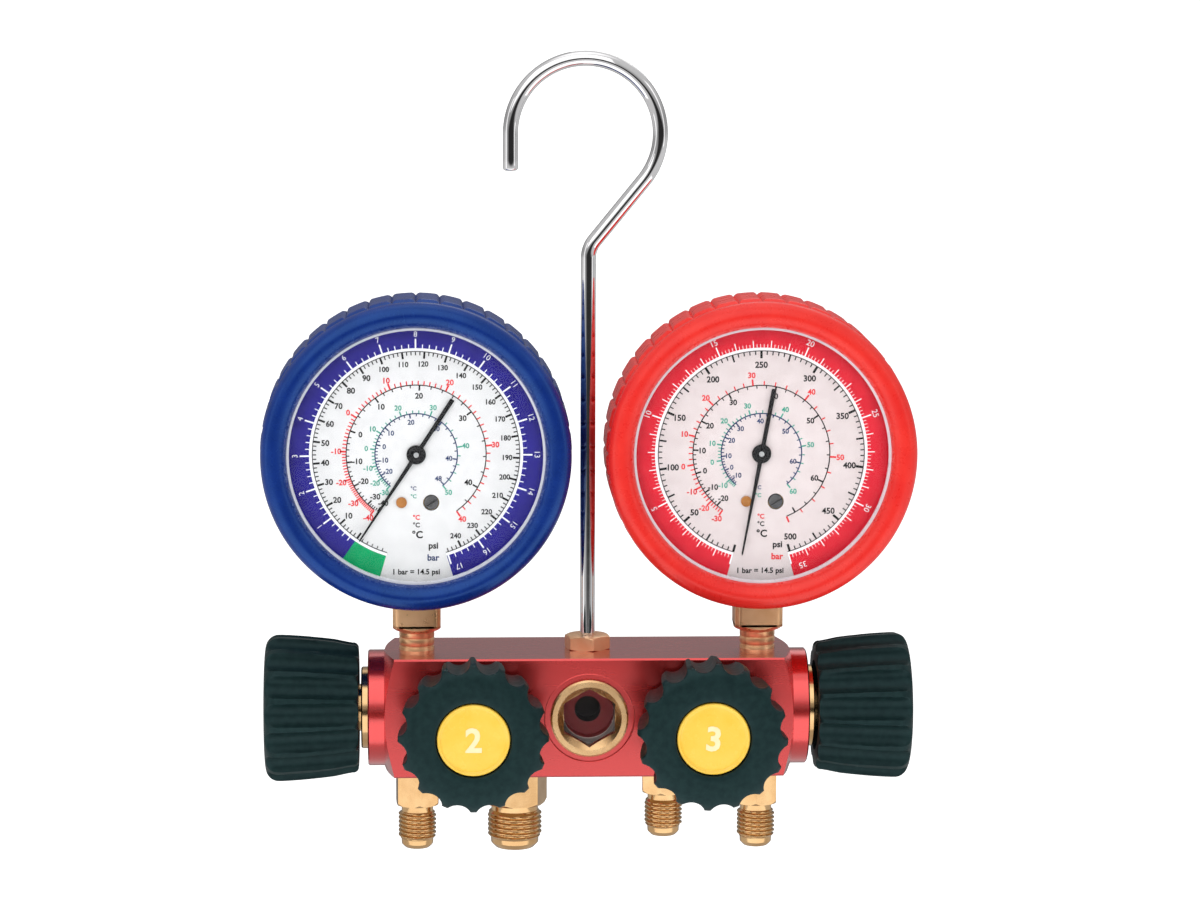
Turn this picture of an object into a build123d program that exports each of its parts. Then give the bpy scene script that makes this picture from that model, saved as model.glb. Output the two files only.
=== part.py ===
from build123d import *
import math
import os

# ---------------------------------------------------------------- driving dimensions, mm
# Working frame while modelling: X right, -Y front, +Z up, origin at the centre of the
# manifold block. Every node is shifted by Z_HANG at the end, so that the row's origin is
# the point inside the top of the hook where the swivel axis meets it.

# manifold block
BLOCK = 35.0             # square section
BLOCK_HALF = 59.5        # half length of the square bar
BLOCK_TURN = 3.2         # length over which the corners are turned down
BOSS_R = 17.0            # round end boss
BOSS_END = 64.3          # face of the end boss
GALLERY_R = 2.5          # common gallery along X
CHAMBER_R = 4.8          # valve chambers
GAUGE_X = 50.0           # gauge, low and high port positions
FRONT_X = 34.0           # front valve positions
VAC_X, CHG_X = -21.3, 22.6

# valves, measured outward (t) from the boss face or from the front face
THREAD_PITCH = 1.25
OPEN_TURNS = 1.75
SEAT_SIDE, SEAT_FRONT = -20.3, -12.5
BONNET_R, BONNET_LEN = 8.0, 8.5
KNOB_R_OUT, KNOB_R_IN = 21.5, 19.1
KNOB_T0, KNOB_T1 = 2.7, 30.2
FLUTES = 16

# gauges
GZ = 76.3                # gauge centre above the block centre
CASE_R = 39.9
BOOT_R, BOOT_RIB_R = 44.8, 45.1
SOCKET_AF = 14.0
NECK_R = 5.15
GEAR_M, PINION_Z, SECTOR_Z, SECTOR_TEETH = 0.3, 12, 120, 15
PIVOT_W = -19.8          # sector pivot below the gauge centre
TAIL_R = 4.0             # sector tail arm

# hook
ROD_R = 2.2
HOOK_CX, HOOK_CZ, HOOK_R = -0.94, 168.35, 21.65
BEND_R = 8.0
TAIL_Z = 157.6

Z_HANG = HOOK_CZ + math.sqrt((HOOK_R - ROD_R) ** 2 - HOOK_CX ** 2)

os.makedirs("parts", exist_ok=True)


def out(name, *shapes):
    """Writes one node. Several shapes stay separate solids."""
    moved = [Pos(0, 0, -Z_HANG) * s for s in shapes]
    shape = moved[0] if len(moved) == 1 else Compound(children=moved)
    export_step(shape, f"parts/{name}.step")


# ---------------------------------------------------------------- helpers
def cyl_z(z0, z1, r, x=0.0, y=0.0):
    return Pos(x, y, (z0 + z1) / 2) * Cylinder(r, abs(z1 - z0))


def cyl_y(y0, y1, r, x=0.0, z=0.0):
    return Pos(x, (y0 + y1) / 2, z) * Rot(90, 0, 0) * Cylinder(r, abs(y1 - y0))


def cyl_x(x0, x1, r, y=0.0, z=0.0):
    return Pos((x0 + x1) / 2, y, z) * Rot(0, 90, 0) * Cylinder(r, abs(x1 - x0))


def box(x0, x1, y0, y1, z0, z1):
    return Pos((x0 + x1) / 2, (y0 + y1) / 2, (z0 + z1) / 2) * Box(abs(x1 - x0), abs(y1 - y0), abs(z1 - z0))


def ring_z(z0, z1, ri, ro, x=0.0, y=0.0):
    return cyl_z(z0, z1, ro, x, y) - cyl_z(z0 - 0.5, z1 + 0.5, ri, x, y)


def hexa(z0, z1, af, turn=0.0, x=0.0, y=0.0):
    """Hexagonal prism along Z; turn 0 puts a corner on +X."""
    prism = extrude(RegularPolygon(af / math.sqrt(3), 6, rotation=turn), amount=z1 - z0)
    return Pos(x, y, z0) * prism


def turned(points, x=0.0, y=0.0):
    """Solid of revolution about Z from (r, z) points, which start and end on the axis."""
    face = make_face(Polyline([(r, 0, z) for r, z in points], close=True))
    return Pos(x, y, 0) * revolve(face, Axis.Z)


def between(p, q, r):
    """Round bar from p to q."""
    a, b = Vector(*p), Vector(*q)
    d = b - a
    plane = Plane(origin=a, z_dir=d.normalized())
    return extrude(plane * Circle(r), amount=d.length)


# placements of a part modelled along +Z outward from t = 0
SIDES = {
    "low": Pos(-BOSS_END, 0, 0) * Rot(0, -90, 0),
    "high": Pos(BOSS_END, 0, 0) * Rot(0, 90, 0),
    "vacuum": Pos(-FRONT_X, -BLOCK / 2, 0) * Rot(90, 0, 0),
    "charging": Pos(FRONT_X, -BLOCK / 2, 0) * Rot(90, 0, 0),
}
SEAT = {"low": SEAT_SIDE, "high": SEAT_SIDE, "vacuum": SEAT_FRONT, "charging": SEAT_FRONT}

# ---------------------------------------------------------------- manifold block
H = BLOCK / 2
bar = box(-BLOCK_HALF, BLOCK_HALF, -H, H, -H, H)
bar = chamfer(bar.edges().filter_by(Axis.X), 0.5)
corner = H * math.sqrt(2) + 0.4
turning = Rot(0, 90, 0) * turned(
    [(0, -BLOCK_HALF - 1), (H - 0.4, -BLOCK_HALF - 1), (H - 0.4, -BLOCK_HALF), (corner, -BLOCK_HALF + BLOCK_TURN),
     (corner, BLOCK_HALF - BLOCK_TURN), (H - 0.4, BLOCK_HALF), (H - 0.4, BLOCK_HALF + 1), (0, BLOCK_HALF + 1)])
block = bar & turning
boss = cyl_x(-BOSS_END, BOSS_END, BOSS_R)
boss = chamfer(boss.edges(), 0.4)
block = block + boss

# gallery and the four valve chambers
block -= cyl_x(-BOSS_END - SEAT_SIDE, BOSS_END + SEAT_SIDE, GALLERY_R)
for side, place in SIDES.items():
    cut = cyl_z(SEAT[side], 1, CHAMBER_R)
    cut += cyl_z(-BONNET_LEN, 1, BONNET_R)
    cut += cyl_z(-0.9, 1, 9.65)
    if side in ("vacuum", "charging"):
        cut += cyl_z(SEAT[side] - 5.5, SEAT[side] + 1, GALLERY_R)
    block -= place * cut
# gauge and hose drillings at both ends
for s in (-1, 1):
    block -= cyl_z(9.7, H + 1, NECK_R + 0.05, s * GAUGE_X)
    block -= cyl_z(-H - 1, -9.5, 5.0, s * GAUGE_X)
    block -= cyl_z(-10, 10, 2.25, s * GAUGE_X)
# vacuum and charging drillings, slanted into the front valve chambers
block -= cyl_z(-H - 1, -9.5, 7.0, VAC_X)
block -= cyl_z(-H - 1, -9.5, 5.0, CHG_X)
block -= between((VAC_X, 0, -10.0), (-FRONT_X, -7.0, -3.0), 2.0)
block -= between((CHG_X, 0, -10.0), (FRONT_X, -7.0, -3.0), 2.0)
# sight-glass seat, window cavity and hole into the gallery
block -= cyl_y(-H - 1, -H + 0.5, 12.9)
block -= cyl_y(-H - 1, -8.4, 10.0)
block -= cyl_y(-9.0, -3.5, 7.5)
block -= cyl_y(-4.0, 4.2, 3.85)
# hook swivel pocket
block -= cyl_z(10.0, H + 1, 3.8)
block -= cyl_z(13.5, H + 1, 5.0)
out("manifold_block", block)

# ---------------------------------------------------------------- sight glass
ring = cyl_y(-18.5, -17.02, 11.3)
ring = chamfer(ring.edges().group_by(Axis.Y)[0], 0.5)
ring += cyl_y(-17.3, -14.0, 9.95)
socket_hex = Pos(0, -13, 0) * Rot(90, 0, 0) * Rot(0, 0, 30) * extrude(RegularPolygon(14.9 / math.sqrt(3), 6), amount=7)
lead = Pos(0, -18.5, 0) * Rot(90, 0, 0) * turned([(0, 0.6), (9.3, 0.6), (9.3, 0.0), (7.6, -1.7), (0, -1.7)])
ring = ring - socket_hex - lead
out("sight_glass_ring", ring)
out("sight_glass_window", cyl_y(-13.95, -9.4, 8.55))
sleeve = cyl_y(-13.95, -8.42, 9.9) - cyl_y(-14.5, -9.4, 8.6) - cyl_y(-14, -8, 7.5)
out("sight_glass_seal", sleeve)

# ---------------------------------------------------------------- hook gland nut
nut = hexa(H, H + 4.0, 12.0, turn=-78.0)
nut &= turned([(0, H - 1), (7.2, H - 1), (7.2, H + 3.5), (6.2, H + 4.1), (0, H + 4.1)])
nut += cyl_z(13.5, H + 0.2, 4.97)
nut -= cyl_z(10, H + 6, ROD_R + 0.06)
out("hook_gland_nut", nut)


# ---------------------------------------------------------------- flare ports
def flare_port(x, af, h, neck_r, thread_r, tip_r, end_r, bore_r, spigot_r, turn):
    z = -H
    body = hexa(z - h, z, af, turn=turn, x=x)
    crop = turned([(0, z + 0.1), (af / 2 + 0.35, z + 0.1), (af / math.sqrt(3) + 0.1, z - 0.5), (af / math.sqrt(3) + 0.1, z - h + 0.7),
                   (af / 2 + 0.2, z - h - 0.1), (0, z - h - 0.1)], x=x)
    body = body & crop
    body += cyl_z(-9.7, z - 0.2, spigot_r - 0.03, x)
    z1 = z - h
    body += cyl_z(z1 + 0.2, z1 - 2.2, neck_r, x)
    z2 = z1 - 2.0
    body += cyl_z(z2, z2 - 8.3, thread_r, x)
    z3 = z2 - 8.3
    c = tip_r - end_r
    body += turned([(0, z3 + 0.2), (tip_r, z3 + 0.2), (tip_r, z3 - 1.5), (end_r, z3 - 1.5 - c), (0, z3 - 1.5 - c)], x=x)
    body -= cyl_z(-8, z3 - 5, bore_r, x)
    print("port at", x, "thread from", z2, "to", z3, "tip", z3 - 1.5 - c)
    return body


out("low_side_port", flare_port(-GAUGE_X, 12.0, 11.5, 4.65, 5.556, 4.65, 3.5, 2.4, 5.0, 30 + 5))
out("high_side_port", flare_port(GAUGE_X, 12.0, 11.5, 4.65, 5.556, 4.65, 3.5, 2.4, 5.0, 30 - 4))
out("charging_port", flare_port(CHG_X, 12.0, 8.2, 4.65, 5.556, 4.65, 3.5, 2.4, 5.0, 30 - 8))
out("vacuum_port", flare_port(VAC_X, 17.0, 11.2, 6.9, 7.9375, 7.0, 5.5, 4.0, 7.0, 12))

# ---------------------------------------------------------------- valves
bonnet = cyl_z(-BONNET_LEN, 0.1, BONNET_R - 0.03)
flange = cyl_z(0, 2.0, 12.0)
flange = chamfer(flange.edges().group_by(Axis.Z)[-1], 0.4)
bonnet += flange
bonnet += cyl_z(1.9, 9.0, 6.9)
bonnet -= cyl_z(-10, 5, 4.05)
bonnet -= cyl_z(4.0, 10, 5.0)
seal = ring_z(-0.88, -0.02, BONNET_R + 0.02, 9.6)
packing = ring_z(4.1, 8.9, 3.05, 4.96)
out("valve_bonnets", *[p * bonnet for p in SIDES.values()])
out("bonnet_seals", *[p * seal for p in SIDES.values()])
out("stem_seals", *[p * packing for p in SIDES.values()])

# knob: a tapered cup with scallops, hub and cap recess
profile = [(0, 11.0), (4.6, 11.0), (4.6, 14.0), (13.2, 14.0), (13.2, KNOB_T0), (KNOB_R_IN - 1.4, KNOB_T0), (KNOB_R_IN - 0.4, KNOB_T0 + 0.5),
           (KNOB_R_IN, KNOB_T0 + 1.6), (20.2, 10.0), (21.0, 17.0), (21.4, 23.0), (KNOB_R_OUT, 26.0), (21.2, 27.6), (20.2, 29.0), (18.6, 29.8),
           (14.5, KNOB_T1), (10.5, KNOB_T1), (10.5, 27.4), (8.0, 27.4), (8.0, 22.0), (0, 22.0)]
knob = turned(profile)
taper = math.degrees(math.atan((KNOB_R_OUT - KNOB_R_IN) / 22.0))
SC_R, SC_DEPTH = 3.5, 2.4
for k in range(FLUTES):
    a = (k + 0.5) * 360.0 / FLUTES
    bar_s = Pos(0, KNOB_R_OUT - 0.35 - SC_DEPTH + SC_R, 24.0) * Rot(-taper * 0.8, 0, 0) * Cylinder(SC_R, 70)
    knob -= Rot(0, 0, a) * bar_s
SQ = 4.2
knob -= cyl_z(9, 13.6, 3.06)
knob -= box(-SQ / 2 - 0.03, SQ / 2 + 0.03, -SQ / 2 - 0.03, SQ / 2 + 0.03, 5, 23)
knob_cap = cyl_z(27.42, 29.7, 10.4)
knob_cap = chamfer(knob_cap.edges().group_by(Axis.Z)[-1], 0.5)
knob_screw = cyl_z(22.02, 24.4, 3.5) + cyl_z(14.5, 22.2, 1.5)
knob_screw -= box(-4, 4, -0.4, 0.4, 23.6, 25)

plugs = {}
for side, place in SIDES.items():
    t = SEAT[side]
    # the plug swivels on the stem's pin and only slides; it has a flat soft seat face
    plug = cyl_z(t, t + 4.0, 3.6) - cyl_z(t + 1.2, t + 5, 1.55)
    plugs[side] = plug
    stem = cyl_z(t + 1.5, t + 4.3, 1.5)
    stem += cyl_z(t + 4.05, -5.9, 3.0)
    stem += cyl_z(-6.0, 1.75, 4.0)
    stem += cyl_z(1.6, 13.5, 3.0)
    stem += box(-SQ / 2, SQ / 2, -SQ / 2, SQ / 2, 13.4, 21.9)
    stem -= cyl_z(14.0, 23, 1.5)
    out(f"{side}_valve_seat_plug", place * plug)
    out(f"{side}_valve_stem", place * stem)
    out(f"{side}_valve_knob", place * knob)
    out(f"{side}_valve_knob_cap", place * knob_cap)
    out(f"{side}_valve_knob_screw", place * knob_screw)


# ---------------------------------------------------------------- gauges
def gy(shape, x):
    """Places a part modelled about the gauge axis: local X right, Y up, Z to the front."""
    return Pos(x, 0, GZ) * Rot(90, 0, 0) * shape


RP, RS = GEAR_M * PINION_Z / 2, GEAR_M * SECTOR_Z / 2
PRESS = math.radians(20)


def pinion_outline(th=0.34, ra=0.25, rf=0.40):
    rb = RP * math.cos(PRESS)
    inv = lambda a: math.tan(a) - a
    half = th / 2 / RP
    pts = []
    for k in range(PINION_Z):
        c = math.pi + k * 2 * math.pi / PINION_Z
        prof = []
        for r in [RP - rf] + [rb + (RP + ra - rb) * i / 4 for i in range(5)]:
            a = half + inv(PRESS) - (0 if r <= rb else inv(math.acos(rb / r)))
            prof.append((r, a))
        pts += [(r * math.sin(c - a), r * math.cos(c - a)) for r, a in prof]
        pts += [(r * math.sin(c + a), r * math.cos(c + a)) for r, a in reversed(prof)]
    return pts


def sector_outline(th=0.36, ra=0.25, rf=0.42, first=-4.5):
    w = math.tan(PRESS)
    pts = []
    for k in range(SECTOR_TEETH):
        c = math.radians(first + 3 * k)
        pts += [(r * math.sin(c - h / r), r * math.cos(c - h / r)) for r, h in ((RS - rf, th / 2 + rf * w), (RS + ra, th / 2 - ra * w))]
        pts += [(r * math.sin(c + h / r), r * math.cos(c + h / r)) for r, h in ((RS + ra, th / 2 - ra * w), (RS - rf, th / 2 + rf * w))]
    a0, a1 = math.radians(first - 1.4), math.radians(first + 3 * (SECTOR_TEETH - 1) + 1.4)
    rim = [(RS - 2.2) * 1.0]
    pts += [(rim[0] * math.sin(a1), rim[0] * math.cos(a1)), (2.0 * math.sin(a1), 2.0 * math.cos(a1)), (2.0 * math.sin(a0), 2.0 * math.cos(a0)),
            (rim[0] * math.sin(a0), rim[0] * math.cos(a0))]
    return pts


# direction of the sector's tail arm, clockwise from up, at mid travel, then at rest
TAIL_MID = 180.0 + math.degrees(math.atan2(0.385, 0.92))
TUBE_R, TUBE_TIP = 28.0, 200.0
LUG = (-24.8, -12.6)

GAUGES = {"low": (-GAUGE_X, -14.5), "high": (GAUGE_X, -16.7)}
hairsprings, bezels, dial_screws, cal_screws = [], [], [], []
for name, (gx, mid) in GAUGES.items():
    # case: a cup with a rolled rear wall, open towards the front
    case = cyl_z(-10.0, 12.9, CASE_R) - cyl_z(-8.5, 15, CASE_R - 1.2)
    case = chamfer(case.edges().filter_by(GeomType.CIRCLE).group_by(Axis.Z)[0], 0.8)
    case -= box(-7.15, 7.15, -45, -30, -7.15, 7.15)
    out(f"{name}_gauge_case", gy(case, gx))
    # boot
    sec = Polyline([(34.0, 0, -12.2), (42.6, 0, -12.2)]) + ThreePointArc((42.6, 0, -12.2), (44.37, 0, -11.47), (BOOT_RIB_R, 0, -9.7)) \
        + Line((BOOT_RIB_R, 0, -9.7), (BOOT_RIB_R, 0, 8.6)) + Line((BOOT_RIB_R, 0, 8.6), (44.0, 0, 10.2)) + Line((44.0, 0, 10.2), (44.0, 0, 12.36)) \
        + ThreePointArc((44.0, 0, 12.36), (BOOT_R, 0, 14.7), (43.69, 0, 17.39)) + ThreePointArc((43.69, 0, 17.39), (41.0, 0, 18.5), (37.25, 0, 14.72)) \
        + Line((37.25, 0, 14.72), (39.95, 0, 14.72)) + Line((39.95, 0, 14.72), (39.95, 0, -10.05)) + Line((39.95, 0, -10.05), (34.0, 0, -10.05)) \
        + Line((34.0, 0, -10.05), (34.0, 0, -12.2))
    boot = revolve(make_face(sec), Axis.Z)
    boot -= box(-7.3, 7.3, -50, -30, -7.3, 7.3)
    out(f"{name}_gauge_boot", gy(boot, gx))
    out(f"{name}_gauge_lens", gy(cyl_z(10.9, 12.9, 38.6), gx))
    bezels.append(gy(ring_z(12.92, 14.65, 36.6, 39.9), gx))
    dial = cyl_z(8.2, 9.0, 38.0) - cyl_z(8, 9.5, 1.2) - Pos(-4.3, -14.0, 0) * cyl_z(8, 9.5, 0.85) - Pos(4.3, -14.1, 0) * cyl_z(8, 9.5, 2.35)
    out(f"{name}_gauge_dial", gy(dial, gx))
    # socket: square with turned-off corners, threaded neck below, bore to the tube root
    w0, w1 = 23.3 - GZ, -26.0
    square = box(-SOCKET_AF / 2, SOCKET_AF / 2, -SOCKET_AF / 2, SOCKET_AF / 2, w0, w1) & cyl_z(w0, w1, 9.0)
    square = square & turned([(0, w0), (7.6, w0), (9.2, w0 + 0.9), (9.2, w1), (0, w1)])
    stem_g = square + cyl_z(9.75 - GZ, w0 + 0.2, NECK_R)
    stem_g -= cyl_z(9 - GZ, -28.5, 1.5)
    stem_g -= box(0, 7.5, -1.2, 1.2, -28.9, -27.4)
    out(f"{name}_gauge_socket", Pos(gx, 0, GZ) * stem_g)
    # Bourdon tube: flattened C tube, hollow, closed at the tip, with a tip lug
    arc = TUBE_TIP + 90.0

    def tube_section(r0, r1, half, a):
        f = make_face(Polyline([(r0, 0, -half), (r1, 0, -half), (r1, 0, half), (r0, 0, half)], close=True))
        return Rot(0, 0, -90) * revolve(f, Axis.Z, revolution_arc=a)

    tube = tube_section(TUBE_R - 1.2, TUBE_R + 1.2, 3.6, arc)
    tube -= box(-7.0, 7.0, -32, -24, -9, 9)
    lug_arm = Pos(LUG[0], LUG[1], 0.2) * Cylinder(1.7, 1.6)
    tip = (TUBE_R * math.cos(math.radians(TUBE_TIP)), TUBE_R * math.sin(math.radians(TUBE_TIP)))
    mid_p = ((tip[0] + LUG[0]) / 2, (tip[1] + LUG[1]) / 2)
    ang = math.degrees(math.atan2(tip[1] - LUG[1], tip[0] - LUG[0]))
    lug_arm += Pos(mid_p[0], mid_p[1], 0.2) * Rot(0, 0, ang) * Box(4.0, 2.0, 1.6)
    tube += lug_arm
    hollow = tube_section(TUBE_R - 0.8, TUBE_R + 0.8, 3.1, arc - 4.0)
    tube -= hollow
    out(f"{name}_gauge_bourdon_tube", gy(tube, gx))
    # movement frame: two plates, pillars and dial spacers; g is the local Z
    frame = box(-8.5, 8.5, -24.3, 6.0, -3.2, -2.2) + box(-8.5, 8.5, -24.3, 6.0, 4.2, 5.2)
    frame += box(-6.4, 6.4, -26.0, -24.2, -3.2, -2.2) + box(-6.4, 6.4, -26.0, -24.2, 4.2, 5.2)
    for px, py in ((7.0, -22.8), (-6.8, 4.2), (6.8, 4.2)):
        frame += cyl_z(-2.4, 4.4, 1.2, px, py)
    frame += cyl_z(5.0, 8.18, 1.5, -4.3, -14.0)
    frame -= cyl_z(-4, 9, 0.80, 0, 0)
    frame -= cyl_z(-4, 9, 0.65, 0, PIVOT_W)
    frame -= cyl_z(3, 9, 0.8, -4.3, -14.0)
    frame -= cyl_z(3, 9, 0.9, 4.3, -14.1)
    frame += cyl_z(2.3, 4.3, 0.5, 0, 5.75)
    out(f"{name}_gauge_movement_frame", gy(frame, gx))
    # sector gear with its arbor, tail arm and tail pin
    plate = extrude(make_face(Polyline(sector_outline(), close=True)), amount=1.5)
    rest_tail = math.radians(TAIL_MID - mid)
    te = (TAIL_R * math.sin(rest_tail), TAIL_R * math.cos(rest_tail))
    sg = Pos(0, PIVOT_W, 0) * plate + cyl_z(0, 1.5, 2.2, 0, PIVOT_W) + cyl_z(-3.1, 5.1, 0.6, 0, PIVOT_W)
    arm_a = math.degrees(math.atan2(te[1], te[0]))
    sg += Pos(te[0] / 2, PIVOT_W + te[1] / 2, 0.75) * Rot(0, 0, arm_a) * Box(TAIL_R, 2.0, 1.5)
    sg += cyl_z(0, 1.5, 1.2, te[0], PIVOT_W + te[1]) + cyl_z(1.4, 2.5, 0.5, te[0], PIVOT_W + te[1])
    out(f"{name}_gauge_sector_gear", gy(sg, gx))
    # pinion arbor with the hairspring collet
    arbor = cyl_z(-3.1, 10.55, 0.75) + cyl_z(2.3, 3.2, 1.1)
    arbor += Pos(0, 0, -0.5) * extrude(make_face(Polyline(pinion_outline(), close=True)), amount=2.4)
    out(f"{name}_gauge_pinion_arbor", gy(arbor, gx))
    # link from the tail pin to the tube tip
    tp = (te[0], PIVOT_W + te[1])
    dx, dy = LUG[0] - tp[0], LUG[1] - tp[1]
    L = math.hypot(dx, dy)
    la = math.degrees(math.atan2(dy, dx))
    link = Pos((tp[0] + LUG[0]) / 2, (tp[1] + LUG[1]) / 2, 1.95) * Rot(0, 0, la) * Box(L, 1.4, 0.7)
    link += cyl_z(1.6, 2.3, 1.2, *tp) + cyl_z(1.6, 2.3, 1.3, *LUG)
    link -= cyl_z(1, 3, 0.56, *tp)
    link -= cyl_z(1, 3, 0.6, *LUG)
    out(f"{name}_gauge_link", gy(link, gx))
    print(name, "link pivot local", tp, "length", L)
    # pointer, pointing up in this local frame, then turned to its rest angle
    rest = -146.8 if name == "low" else -169.6
    blade = make_face(Polyline([(-0.95, 0), (-0.28, 30.3), (0.28, 30.3), (0.95, 0), (0.68, -19.3), (-0.68, -19.3)], close=True))
    ptr = extrude(blade, amount=0.4)
    ptr = Pos(0, 0, 9.75) * ptr + cyl_z(9.35, 10.4, 2.8)
    ptr -= cyl_z(9, 11, 0.75)
    out(f"{name}_gauge_pointer", gy(Rot(0, 0, -rest) * ptr, gx))
    # hairspring, between the collet and the frame's stud
    outer, inner = [], []
    turns, n, r0, r1, th = 3.5, 84, 1.32, 5.1, 0.16
    for i in range(n + 1):
        a = math.radians(90 - turns * 360 * (1 - i / n))
        r = r0 + (r1 - r0) * i / n
        outer.append(((r + th / 2) * math.cos(a), (r + th / 2) * math.sin(a)))
        inner.append(((r - th / 2) * math.cos(a), (r - th / 2) * math.sin(a)))
    hs = extrude(make_face(Polyline(outer + inner[::-1], close=True)), amount=0.6)
    hairsprings.append(gy(Pos(0, 0, 2.45) * hs, gx))
    ds = cyl_z(9.02, 9.6, 1.55, -4.3, -14.0) + cyl_z(4.3, 9.1, 0.78, -4.3, -14.0)
    dial_screws.append(gy(ds, gx))
    cs = cyl_z(7.0, 8.85, 2.05, 4.3, -14.1) + cyl_z(4.3, 7.1, 0.88, 4.3, -14.1)
    cs -= Pos(4.3, -14.1, 0) * Rot(0, 0, 30) * box(-3, 3, -0.35, 0.35, 8.2, 9.5)
    cal_screws.append(gy(cs, gx))
out("hairsprings", *hairsprings)
out("bezel_rings", *bezels)
out("dial_screws", *dial_screws)
out("calibration_screws", *cal_screws)

# ---------------------------------------------------------------- hanging hook
phi = math.radians(39.1)
tx, tz = HOOK_CX + HOOK_R * math.cos(phi), HOOK_CZ - HOOK_R * math.sin(phi)
k = tx / math.sin(phi)
zb = tz - k * math.cos(phi)
tl = BEND_R * math.tan(phi / 2)
p0, p1 = (0, 0, 13.1), (0, 0, zb - tl)
p2 = (tl * math.sin(phi), 0, zb + tl * math.cos(phi))
pm = (BEND_R * (1 - math.cos(phi / 2)), 0, zb - tl + BEND_R * math.sin(phi / 2))
p3 = (tx, 0, tz)
top = (HOOK_CX, 0, HOOK_CZ + HOOK_R)
left = (HOOK_CX - HOOK_R, 0, HOOK_CZ)
s45 = math.radians((90 + (-39.1)) / 2)
m1 = (HOOK_CX + HOOK_R * math.cos(s45), 0, HOOK_CZ + HOOK_R * math.sin(s45))
m2 = (HOOK_CX - HOOK_R * math.cos(math.radians(45)), 0, HOOK_CZ + HOOK_R * math.sin(math.radians(45)))
path = [Line(p0, p1), ThreePointArc(p1, pm, p2), Line(p2, p3), ThreePointArc(p3, m1, top), ThreePointArc(top, m2, left), Line(left, (left[0], 0, TAIL_Z))]
wire = Wire([e for seg in path for e in seg.edges()])
hook = sweep(Plane(origin=p0, z_dir=(0, 0, 1)) * Circle(ROD_R), path=wire)
print("hook length", wire.length, "volume", hook.volume, "expected", math.pi * ROD_R ** 2 * wire.length)
hook += cyl_z(10.4, 13.2, 3.5)
out("hanging_hook", hook)
print("Z_HANG", Z_HANG, "hook bend apex", zb)
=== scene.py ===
import math

import bpy
import bmesh
from mathutils import Matrix, Vector


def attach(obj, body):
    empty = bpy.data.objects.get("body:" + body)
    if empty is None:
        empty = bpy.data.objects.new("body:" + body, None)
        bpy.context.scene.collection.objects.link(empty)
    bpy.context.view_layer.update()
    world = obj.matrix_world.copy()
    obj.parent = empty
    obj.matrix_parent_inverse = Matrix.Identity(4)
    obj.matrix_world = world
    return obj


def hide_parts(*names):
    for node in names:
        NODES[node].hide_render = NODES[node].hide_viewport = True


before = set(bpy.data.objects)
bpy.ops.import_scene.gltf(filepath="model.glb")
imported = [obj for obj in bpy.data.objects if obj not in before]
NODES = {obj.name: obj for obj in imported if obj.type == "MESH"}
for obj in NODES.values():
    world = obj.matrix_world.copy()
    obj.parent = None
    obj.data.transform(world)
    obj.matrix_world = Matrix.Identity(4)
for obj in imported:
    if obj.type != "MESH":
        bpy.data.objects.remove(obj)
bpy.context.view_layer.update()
scene = bpy.context.scene
TAU = 2 * math.pi

# Lengths below are millimetres in the working frame of the CAD: X right, -Y front, Z up, origin at the
# centre of the manifold block. mm() turns them into metres in the row frame.
Z_HANG = 187.77727206789464
GAUGE_X, GZ, FRONT_X, BOSS_END, BLOCK_H = 50.0, 76.3, 34.0, 64.3, 17.5


def mm(x, y, z):
    return (x / 1000.0, y / 1000.0, (z - Z_HANG) / 1000.0)


# ------------------------------------------------------------------ camera
cam_data = bpy.data.cameras.new("camera")
cam = bpy.data.objects.new("camera", cam_data)
scene.collection.objects.link(cam)
yaw, pitch, roll = math.radians(-2.542), math.radians(8.080), math.radians(-0.19)
right = Vector((math.cos(yaw), math.sin(yaw), 0))
ahead = Vector((-math.sin(yaw), math.cos(yaw), 0))
look = ahead * math.cos(pitch) + Vector((0, 0, -math.sin(pitch)))
up = ahead * math.sin(pitch) + Vector((0, 0, math.cos(pitch)))
r2 = right * math.cos(roll) - up * math.sin(roll)
u2 = right * math.sin(roll) + up * math.cos(roll)
turn = Matrix((r2, u2, -look)).transposed().to_4x4()
cam.matrix_world = Matrix.Translation(mm(-47.8, -1156.8, 240.5)) @ turn
cam_data.sensor_fit = "HORIZONTAL"
cam_data.sensor_width = 36.0
cam_data.lens = 4008.6 * 36.0 / 1200.0
cam_data.clip_start, cam_data.clip_end = 0.05, 30.0
scene.camera = cam
scene.view_settings.view_transform = "Standard"
scene.view_settings.look = "None"


# ------------------------------------------------------------------ materials
def lin(c):
    def f(v):
        v = v / 255.0
        return v / 12.92 if v <= 0.04045 else ((v + 0.055) / 1.055) ** 2.4
    return (f(c[0]), f(c[1]), f(c[2]), 1.0)


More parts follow.
